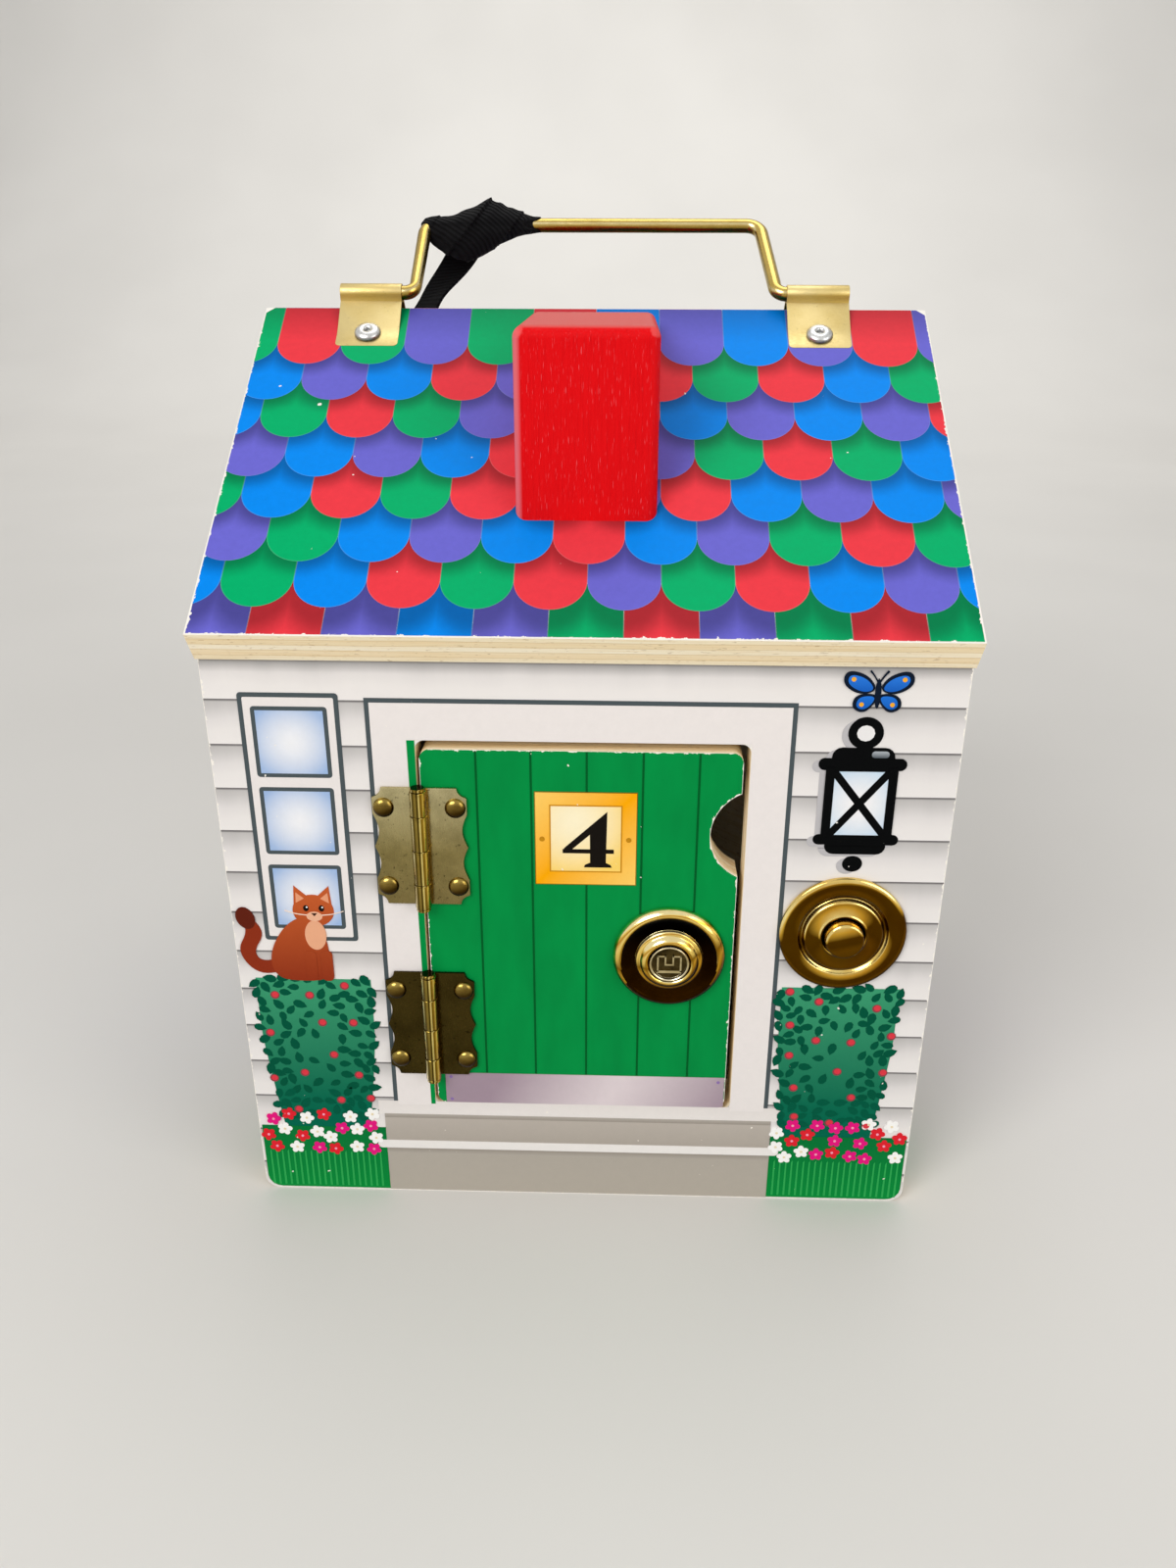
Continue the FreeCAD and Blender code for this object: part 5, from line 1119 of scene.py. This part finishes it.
# Doorbells. A thin spun brass plate with a stepped ring on each wall, and a round button that
# pushes in against a spring; it is pressed with a groove round the button and lacquered.
# Painted light and reflection: the bell brass is near white where a face looks up and dark brown on the flat
# and below.
bell_brass = metal(
    "lacquered_bell_brass", "#FFECA0", "#E2BC60", rough=0.13, patch=0.045, brush=(1.0, 0.3, 1.0),
    low=0.36, high=0.66, painted_tones=[
        (0.0, "#2E2004"), (0.3, "#5A4408"), (0.42, "#6A4E10"), (0.47, "#513A08"), (0.53, "#553D0A"),
        (0.6, "#E0C068"), (0.7, "#FFFFFF"), (1.0, "#FFFFFF"),
    ])
plates = bmesh.new()
for side in SIDES:
    place = side_turn(side) @ Matrix.Translation((69.7, 92.0, 0.0))
    plate = spun([
        (5.55, -4.0), (5.9, -4.0), (5.9, -0.02), (16.7, -0.02), (16.95, 0.2), (16.95, 0.7), (16.75, 1.15),
        (16.3, 1.42), (15.7, 1.5), (12.35, 1.5), (12.1, 1.42), (11.75, 0.95), (11.4, 0.72), (11.0, 0.72),
        (10.75, 1.0), (10.4, 1.75), (10.15, 1.95), (9.8, 2.0), (6.75, 2.0), (6.5, 2.1), (6.2, 2.3),
        (5.85, 2.25), (5.6, 1.9), (5.55, 0.0), (5.55, -4.0),
    ], 128, 0.06)
    gather(plates, plate, place)
    push = spun([
        (0.0, -5.55), (1.45, -5.55), (1.45, -2.2), (5.1, -2.2), (5.3, -1.9), (5.2, 4.2), (5.05, 4.75),
        (4.75, 5.05), (4.4, 5.15), (0.0, 5.2),
    ], 96, 0.08)
    made = piece(f"{side}_bell_push", f"{side}_bell", push, bell_brass, place, 50)
    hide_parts(f"{side}_bell_button")
made = piece("bell_plates_spun", "house", plates, bell_brass, smooth=50)
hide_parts("bell_plates")


# Handle brackets. A strip of brass-plated sheet each, folded over the ridge and rolled round the
# handle's foot; its four corners are rounded, and a hollow nickel rivet holds each flap.
PIVOT = RIDGE + 4.2
IN_METRES = Matrix.Scale(0.001, 4)


def slope_spot(x, down, up, back=-1):
    """A place over the roof: along the ridge, down the slope and out from its face."""
    c, s = math.cos(math.radians(PITCH)), math.sin(math.radians(PITCH))
    return Vector((x, back * (down * c + up * s), RIDGE - down * s + up * c))


# Painted light: the sheet is pale where it looks up and darker where it looks away.
bracket_brass = metal(
    "brass_plated_sheet", "#D8C58C", "#CFBA7C", rough=0.42, patch=0.07, brush=(0.5, 1.4, 1.4), spots=0.2,
    painted_tones=[(0.0, "#8F7A3C"), (0.4, "#E8DCB0"), (0.7, "#FFFFFF"), (1.0, "#FFFFFF")],
)
for name, left in (("left", -73.2), ("right", 55.4)):
    work = bmesh.new()
    flap = ((17.0, 0.4), (12.4, 0.42), (11.0, 0.55), (9.4, 0.86), (0.75, 2.9))
    line = [slope_spot(0, down, up) for down, up in flap]
    for degrees in range(112, -113, -14):
        angle = math.radians(degrees)
        line.append(Vector((0, -2.5 * math.sin(angle), PIVOT + 2.5 * math.cos(angle))))
    line += [slope_spot(0, down, up, 1) for down, up in reversed(flap)]
    rail = [work.verts.new((left, spot.y, spot.z)) for spot in line]
    edges = [work.edges.new(pair) for pair in zip(rail, rail[1:])]
    sheet = bmesh.ops.extrude_edge_only(work, edges=edges)
    bmesh.ops.translate(work, vec=(17.8, 0, 0), verts=new_points(sheet))
    ends = [vert for vert in work.verts if abs(abs(vert.co.y) - abs(line[0].y)) < 0.01]
    round_corners(work, [vert for vert in ends if len(vert.link_edges) == 2], 1.3, 4)
    bmesh.ops.recalc_face_normals(work, faces=work.faces)
    bmesh.ops.solidify(work, geom=work.faces[:], thickness=0.8)
    ease(work, 0.18, 2, 50)
    made = piece(f"bracket_{name}_sheet", "house", work, bracket_brass, IN_METRES, 40)
    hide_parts(f"bracket_{name}")

# Painted light: the rivet heads are paler where they look up.
nickel = metal(
    "nickel_rivet", "#DADBDB", "#B4B6B8", rough=0.3, patch=0.4,
    painted_tones=[(0.0, "#7A7A78"), (0.45, "#C9C9C7"), (0.8, "#FFFFFF"), (1.0, "#FFFFFF")],
)
heads = bmesh.new()
for x, back in ((-64.3, -1), (-64.3, 1), (64.3, -1), (64.3, 1)):
    head = spun([
        (0.0, 0.2), (0.7, 0.25), (0.85, 0.8), (1.15, 1.15), (1.7, 1.3), (2.5, 1.22), (3.3, 0.85),
        (3.75, 0.25), (3.75, -0.3), (0.0, -0.3),
    ], 56)
    tilt = Matrix.Rotation(math.radians(-back * PITCH), 4, "X")
    onto = Matrix.Translation(slope_spot(x, 11.7, 0.8, back)) @ tilt
    gather(heads, head, IN_METRES @ onto)
made = piece("bracket_rivet_heads", "house", heads, nickel, smooth=50)
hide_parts("bracket_rivets")


# Carry handle. One 4 mm brass-plated wire, cold bent to a flat bow; its left leg stands a
# little straighter than the right, and its feet turn in the brackets.
def bow_spot(x, up):
    """A place on the handle's flat bow, which leans back 53 degrees about its feet."""
    lean = math.radians(53)
    return Vector((x, up * math.sin(lean), PIVOT + up * math.cos(lean)))


def bent_wire(spots, bends, radius, sides):
    """A round wire along straight runs, its inner corners bent; all in millimetres."""
    path = bmesh.new()
    verts = [path.verts.new(spot) for spot in spots]
    for pair in zip(verts, verts[1:]):
        path.edges.new(pair)
    cuts = []
    for before, corner, after, bend in zip(verts, verts[1:], verts[2:], bends):
        turn = (corner.co - before.co).angle(after.co - corner.co)
        cuts.append((corner, bend * math.tan(turn / 2)))
    for corner, cut in cuts:
        round_corners(path, [corner], cut, 9)
    ends = [vert for vert in path.verts if len(vert.link_edges) == 1]
    here = min(ends, key=lambda vert: (vert.co - spots[0]).length)
    order, ahead = [here.co.copy()], here.link_edges[:]
    while ahead:
        here = ahead[0].other_vert(here)
        order.append(here.co.copy())
        ahead = [edge for edge in here.link_edges if edge is not ahead[0]]
    path.free()
    return swept_wire(order, radius, sides)


def swept_wire(order, radius, sides):
    """A closed round bar through points that lie close together."""
    _, holder = drawn(
        "POLY", order, dimensions="3D", use_fill_caps=True, bevel_depth=radius, bevel_resolution=sides // 2,
    )
    bpy.context.scene.collection.objects.link(holder)
    bpy.context.view_layer.update()
    solid = holder.evaluated_get(bpy.context.evaluated_depsgraph_get())
    work = bmesh.new()
    work.from_mesh(bpy.data.meshes.new_from_object(solid))
    bpy.data.objects.remove(holder)
    bmesh.ops.remove_doubles(work, verts=work.verts, dist=0.0005)
    return work


# Painted light: the wire is pale along its upper side and darker beneath.
handle_brass = metal(
    "brass_plated_wire", "#DFD0A0", "#CCB980", rough=0.22, patch=0.08, brush=(0.2, 1.6, 1.6), spots=0.15,
    painted_tones=[(0.0, "#8A7434"), (0.3, "#BBA660"), (0.55, "#E6D59C"), (0.8, "#FFFFFF"), (1.0, "#E8D8A0")],
)
BOW = ((-71.7, 0), (-51.9, 0), (-51.2, 30), (49.0, 30), (52.6, 0), (71.7, 0))
work = bent_wire([bow_spot(x, up) for x, up in BOW], (3.2, 4.6, 4.6, 3.2), 2.0, 20)
# The left leg is pinched a little where it was clamped to be bent.
pinch = bow_spot(-51.6, 3.4)
for vert in work.verts:
    close = max(0.0, 1 - (vert.co - pinch).length / 6.5)
    vert.co.x += (pinch.x - vert.co.x) * 0.16 * close
    if vert.co.x > -71:
        vert.co.y = max(vert.co.y, -1.99)
made = piece("handle_wire", "handle", work, handle_brass, IN_METRES, 60)
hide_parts("handle")


# Key strap. One 11 mm length of black ribbed nylon webbing, wound and knotted round the handle's
# left end; its tail hangs behind the ridge and is sewn back round the key ring.
def webbing_finish():
    """Black nylon grosgrain: ribs across the web, a fuzzy dull face and a faint sheen."""
    made, add = finish("black_nylon_grosgrain")
    web = add("SeparateXYZ", add("Attribute", attribute_name="web").outputs["Vector"])
    # A rib every 1.3 mm along the web and a yarn every 0.45 mm across it.
    rib = add("Math SINE", add("Math MULTIPLY", web.outputs["Y"], math.tau / 1.3))
    yarn = add("Math SINE", add("Math MULTIPLY", web.outputs["X"], math.tau / 0.45))
    fuzz = add("TexNoise", board_place(add), scale=2.6, detail=5.0)
    weave = add("Math MULTIPLY_ADD", yarn, 0.3, rib)
    height = add("Math MULTIPLY_ADD", fuzz, 0.8, weave)
    # Painted shade: the colour follows the relief, darker down between the ribs and yarns and paler on their
    # tops.
    colour = add("ValToRGB", add("MapRange", height, -1.0, 2.0), stops=[
        (0.0, "#010102"), (0.45, "#040406"), (0.8, "#0B0B0E"), (1.0, "#18181C"),
    ])
    coat(
        add, colour, 0.75, height, 0.7, 0.0004, ior=1.53, specular_ior_level=0.1, sheen_weight=0.02,
        sheen_roughness=0.5,
    )
    return made


def webbing(middles, acrosses):
    """A flat 11 mm web along its middle line; each station has the direction across it."""
    wide, thick, count = 11.0, 0.95, len(middles) - 1
    work = bmesh.new()
    store = work.verts.layers.float_vector.new("web")
    made = bmesh.ops.create_grid(work, x_segments=8, y_segments=count, size=0.5)["verts"]
    runs = [0.0]
    for a, b in zip(middles, middles[1:]):
        runs.append(runs[-1] + (b - a).length)
    for vert in made:
        number, share = round((vert.co.y + 0.5) * count), vert.co.x
        ahead = middles[min(number + 1, count)] - middles[max(number - 1, 0)]
        out = ahead.cross(acrosses[number]).normalized()
        curl = 0.25 * (share * share * 4 - 0.33) + 0.05 * math.sin(share * 9 + number * 0.45)
        vert[store] = (share * wide, runs[number], 0)
        vert.co = middles[number] + acrosses[number] * share * wide + out * curl
    bmesh.ops.recalc_face_normals(work, faces=work.faces)
    for vert in work.verts:
        vert.co -= vert.normal * thick / 2
    work.normal_update()
    bmesh.ops.solidify(work, geom=work.faces[:], thickness=thick)
    return work


grosgrain = webbing_finish()
# The knot's reach over, under and before the wire, at places along it, in millimetres.
KNOT = [
    (-52.6, 0.6, 0.4, 1.0), (-51.4, 1.9, 3.4, 2.6), (-49.1, 2.4, 6.6, 3.4), (-46.6, 2.5, 8.4, 4.2),
    (-44.5, 2.7, 9.8, 4.8), (-41.5, 3.3, 11.4, 5.6), (-38.5, 4.5, 12.0, 6.2), (-36.4, 5.2, 11.2, 6.6),
    (-34.0, 6.0, 9.8, 6.8), (-31.1, 7.0, 7.9, 6.6), (-28.6, 6.4, 6.5, 6.0), (-26.4, 5.2, 5.3, 5.2),
    (-23.8, 4.2, 4.0, 4.4), (-21.0, 3.2, 3.2, 3.6), (-18.6, 2.5, 2.6, 3.0), (-16.5, 2.3, 2.3, 2.5),
]
work = bmesh.new()
store = work.verts.layers.float_vector.new("web")
made = bmesh.ops.create_grid(work, x_segments=56, y_segments=110, size=0.5)["verts"]
lean = Vector((0.62, 0.0, 0.785))
for vert in made:
    angle, reach = (vert.co.x + 0.5) * math.tau, vert.co.y + 0.5
    x = KNOT[0][0] + (KNOT[-1][0] - KNOT[0][0]) * reach
    here, there = next((a, b) for a, b in zip(KNOT, KNOT[1:]) if x <= b[0] + 0.0001)
    share = (x - here[0]) / (there[0] - here[0])
    over, under, before = (p + (q - p) * share for p, q in zip(here[1:], there[1:]))
    up, out = math.sin(angle), math.cos(angle)
    spot = Vector((x, -out * before * (1 - 0.35 * abs(up) ** 3), (over if up > 0 else under) * up))
    # Each lap of the web ends in a fold that leans along the lean line, over the one before.
    across = spot.x + 38.0 - spot.z * lean.x / lean.z
    lap = (across + 60) / 12.27
    fold = (lap - math.floor(lap)) ** 2.6
    ripple = 0.12 * math.sin(across * 1.3 + 2.0 * math.sin(spot.z * 0.4))
    ripple += 0.07 * math.sin(spot.z * 1.1 + across * 0.5)
    swell = (0.85 * fold - 0.25 + ripple) * min(1.0, 3 * reach, 5 * (1 - reach)) * min(1.0, before / 4)
    notch = 4.6 * out**4 * max(0.0, (reach - 0.86) / 0.14)
    vert[store] = (across, spot.x * lean.x + spot.z * lean.z + spot.y * 0.5, 0)
    bulk = Vector((0, spot.y, spot.z))
    bulk += bulk.normalized() * swell
    # What hangs under the wire leans forward, off the back slope when the bow is down.
    bulk += Vector((0, 0.36, -0.16)) * min(0.0, bulk.z)
    vert.co = bow_spot(spot.x - notch, 30) + bulk
bmesh.ops.remove_doubles(work, verts=work.verts, dist=0.002)
ends = [edge for edge in work.edges if len(edge.link_faces) == 1]
bmesh.ops.holes_fill(work, edges=ends, sides=0)
made = piece("strap_knot", "handle", work, grosgrain, IN_METRES, 38)
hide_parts("strap_winding")

TAIL = [
    (-36.0, 30.9, 265.3), (-41.3, 31.1, 257.0), (-46.4, 31.7, 248.9), (-51.5, 32.7, 240.8),
    (-54.8, 37.3, 235.1), (-58.0, 40.8, 229.3), (-58.0, 47.4, 223.0), (-58.0, 50.0, 221.2),
    (-58.0, 50.7, 220.5), (-58.0, 50.8, 219.5), (-58.0, 50.5, 218.6), (-58.0, 49.8, 218.0),
    (-58.0, 48.9, 217.8), (-58.0, 48.0, 218.1), (-58.0, 45.3, 219.9), (-58.0, 40.3, 223.3),
]


def route_points(route):
    """Points along the smooth spline that a cord's route controls, in metres."""
    spots = [(x / 1000, y / 1000, z / 1000) for x, y, z in route]
    line, holder = drawn("NURBS", spots, dimensions="3D", resolution_u=5)
    line.order_u, line.use_endpoint_u = 3, True
    flat = bpy.data.meshes.new_from_object(holder)
    found = [vert.co.copy() for vert in flat.vertices]
    bpy.data.objects.remove(holder)
    return found


TAIL_START, TAIL_END = (-0.036, 0.0309, 0.2653), (-0.0515, 0.0327, 0.2408)
path = route_points(TAIL)
middles, acrosses, runs = [], [], [0.0]
for number, spot in enumerate(path):
    if number:
        runs.append(runs[-1] + (spot - path[number - 1]).length * 1000)
    # The web is twisted half edge-on where it drops behind the ridge, and hangs 1.7 mm aside there.
    twist = math.sin(max(0.0, 1 - abs(runs[-1] - 29.0) / 20.0) * math.pi / 2) ** 2
    ahead = (path[min(number + 1, len(path) - 1)] - path[max(number - 1, 0)]).normalized()
    acrosses.append(Matrix.Rotation(math.radians(56) * twist, 3, ahead) @ Vector((1, 0, 0)))
    middles.append(spot * 1000 + Vector((-1.7 * twist, 0, 0)))
work = webbing(middles, acrosses)
made = piece("strap_hanging", None, work, grosgrain, IN_METRES, 40)
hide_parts("strap_tail")
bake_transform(made)
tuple(TAIL_START)
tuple(TAIL_END)
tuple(path[0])


# Key ring and keys. A split ring of sprung steel wire, and four flat brass keys on it, one for
# each lock, nickel plated, the bows dipped in enamel of the doors' colours.
dress(metal("sprung_steel_wire", "#C5C8CB", "#8D9093", rough=0.22, patch=0.4), "key_ring")


def dipped_key(name, ink):
    """A nickel-plated blade whose bow is dipped in glossy enamel, thin at the rim."""
    made, add = finish(name)
    place = board_place(add)
    from_ring = add("VectorMath DISTANCE", place, (-58.0, 55.874, 215.0)).outputs["Value"]
    wobble = add("TexNoise", place, scale=0.4, detail=3.0)
    reach = add("Math MULTIPLY_ADD", wobble, 1.6, from_ring)
    blade = add("MapRange", reach, 25.4, 25.8)
    enamel = add("Mix MULTIPLY", 1.0, ink, add("MapRange", wobble, 0.3, 0.7, 0.9, 1.05))
    plate = add("Mix MIX", wobble, "#D2D4D4", "#A3A29A")
    rub = add("TexNoise", place, scale=2.0, detail=4.0)
    dull = add("MapRange", rub, to_min=0.16, to_max=0.34)
    coat(add, add("Mix MIX", blade, enamel, plate), dull, rub, 0.08, 0.0002, metallic=blade)
    return made


ENAMELS = {"green": "#0B9A4A", "purple": "#6C52B8", "red": "#DC2B31", "blue": "#1B7CDF"}
for number, (name, ink) in enumerate(ENAMELS.items(), 1):
    dress(dipped_key(f"{name}_dipped_key", ink), f"key_{number}")


# Studio. A pale floor that sweeps up behind the house, four soft lamps in an even dim light,
# and the camera at the photograph's angle.
made, add = finish("pale_studio_floor")
place = board_place(add)
soft = add("TexNoise", place, scale=0.004, detail=2.0)
tone = add("ValToRGB", soft, stops=[(0.3, "#DBD8D2"), (0.7, "#E0DDD7")])
shader = add("BsdfPrincipled", base_color=tone, roughness=0.85, ior=1.4)
add("OutputMaterial", shader)
work = bmesh.new()
rail = [work.verts.new((-3.0, y, z)) for y, z in ((-3.0, 0.0), (2.4, 0.0), (2.4, 2.6))]
for pair in zip(rail, rail[1:]):
    work.edges.new(pair)
round_corners(work, [rail[1]], 1.1, 24)
sweep = bmesh.ops.extrude_edge_only(work, edges=work.edges[:])
bmesh.ops.translate(work, vec=(6.0, 0, 0), verts=new_points(sweep))
floor = piece("studio_floor", None, work, made, smooth=40)

world = bpy.data.worlds.new("studio")
bpy.context.scene.world = world
world.use_nodes = True
add = adder(world.node_tree)
path_kind = add("LightPath")
seen = add("Math MAXIMUM", path_kind.outputs["Is Camera Ray"], path_kind.outputs["Is Glossy Ray"])
shown = add("Math MAXIMUM", seen, path_kind.outputs["Is Transmission Ray"])
lit = add("Background", "#F4F5F8", 0.42)
pale = add("Background", "#E2DFDA", 1.0)
both = add("MixShader", shown, lit, pale)
add("OutputWorld", both)

for name, spot, aim, size, power, spread in (
    ("key", (-0.75, -1.15, 1.05), (0, -0.05, 0.12), 0.9, 13.0, 180),
    ("fill", (1.05, -0.9, 0.65), (0, 0, 0.12), 1.0, 6.5, 180),
    ("top", (0.1, 0.3, 1.5), (0, 0, 0.15), 0.9, 4.0, 180),
    ("backdrop", (0.0, 1.5, 2.0), (0, 2.15, 0.35), 2.2, 12.0, 110),
):
    lamp = bpy.data.lights.new(name, "AREA")
    lamp.shape, lamp.size, lamp.energy, lamp.spread = "DISK", size, power, math.radians(spread)
    stand = bpy.data.objects.new(name, lamp)
    stand.location = spot
    stand.rotation_euler = (Vector(aim) - Vector(spot)).to_track_quat("-Z", "Y").to_euler()
    bpy.context.scene.collection.objects.link(stand)

pitch, yaw, roll = 0.41928, -0.02839, 0.0026
ahead = Vector((math.sin(yaw) * math.cos(pitch), math.cos(yaw) * math.cos(pitch), -math.sin(pitch)))
right = Vector((math.cos(yaw), -math.sin(yaw), 0.0))
up = right.cross(ahead)
right, up = math.cos(roll) * right + math.sin(roll) * up, math.cos(roll) * up - math.sin(roll) * right
view = bpy.data.cameras.new("camera")
view.sensor_width, view.lens = 36.0, 28.125
camera = bpy.data.objects.new("camera", view)
turn = Matrix((right, up, -ahead)).transposed().to_4x4()
camera.matrix_world = Matrix.Translation((0.009543, -0.380482, 0.261867)) @ turn
bpy.context.scene.collection.objects.link(camera)
view.clip_start, view.clip_end = 0.01, 20.0
bpy.context.scene.camera = camera
bpy.context.scene.view_settings.view_transform = "Standard"
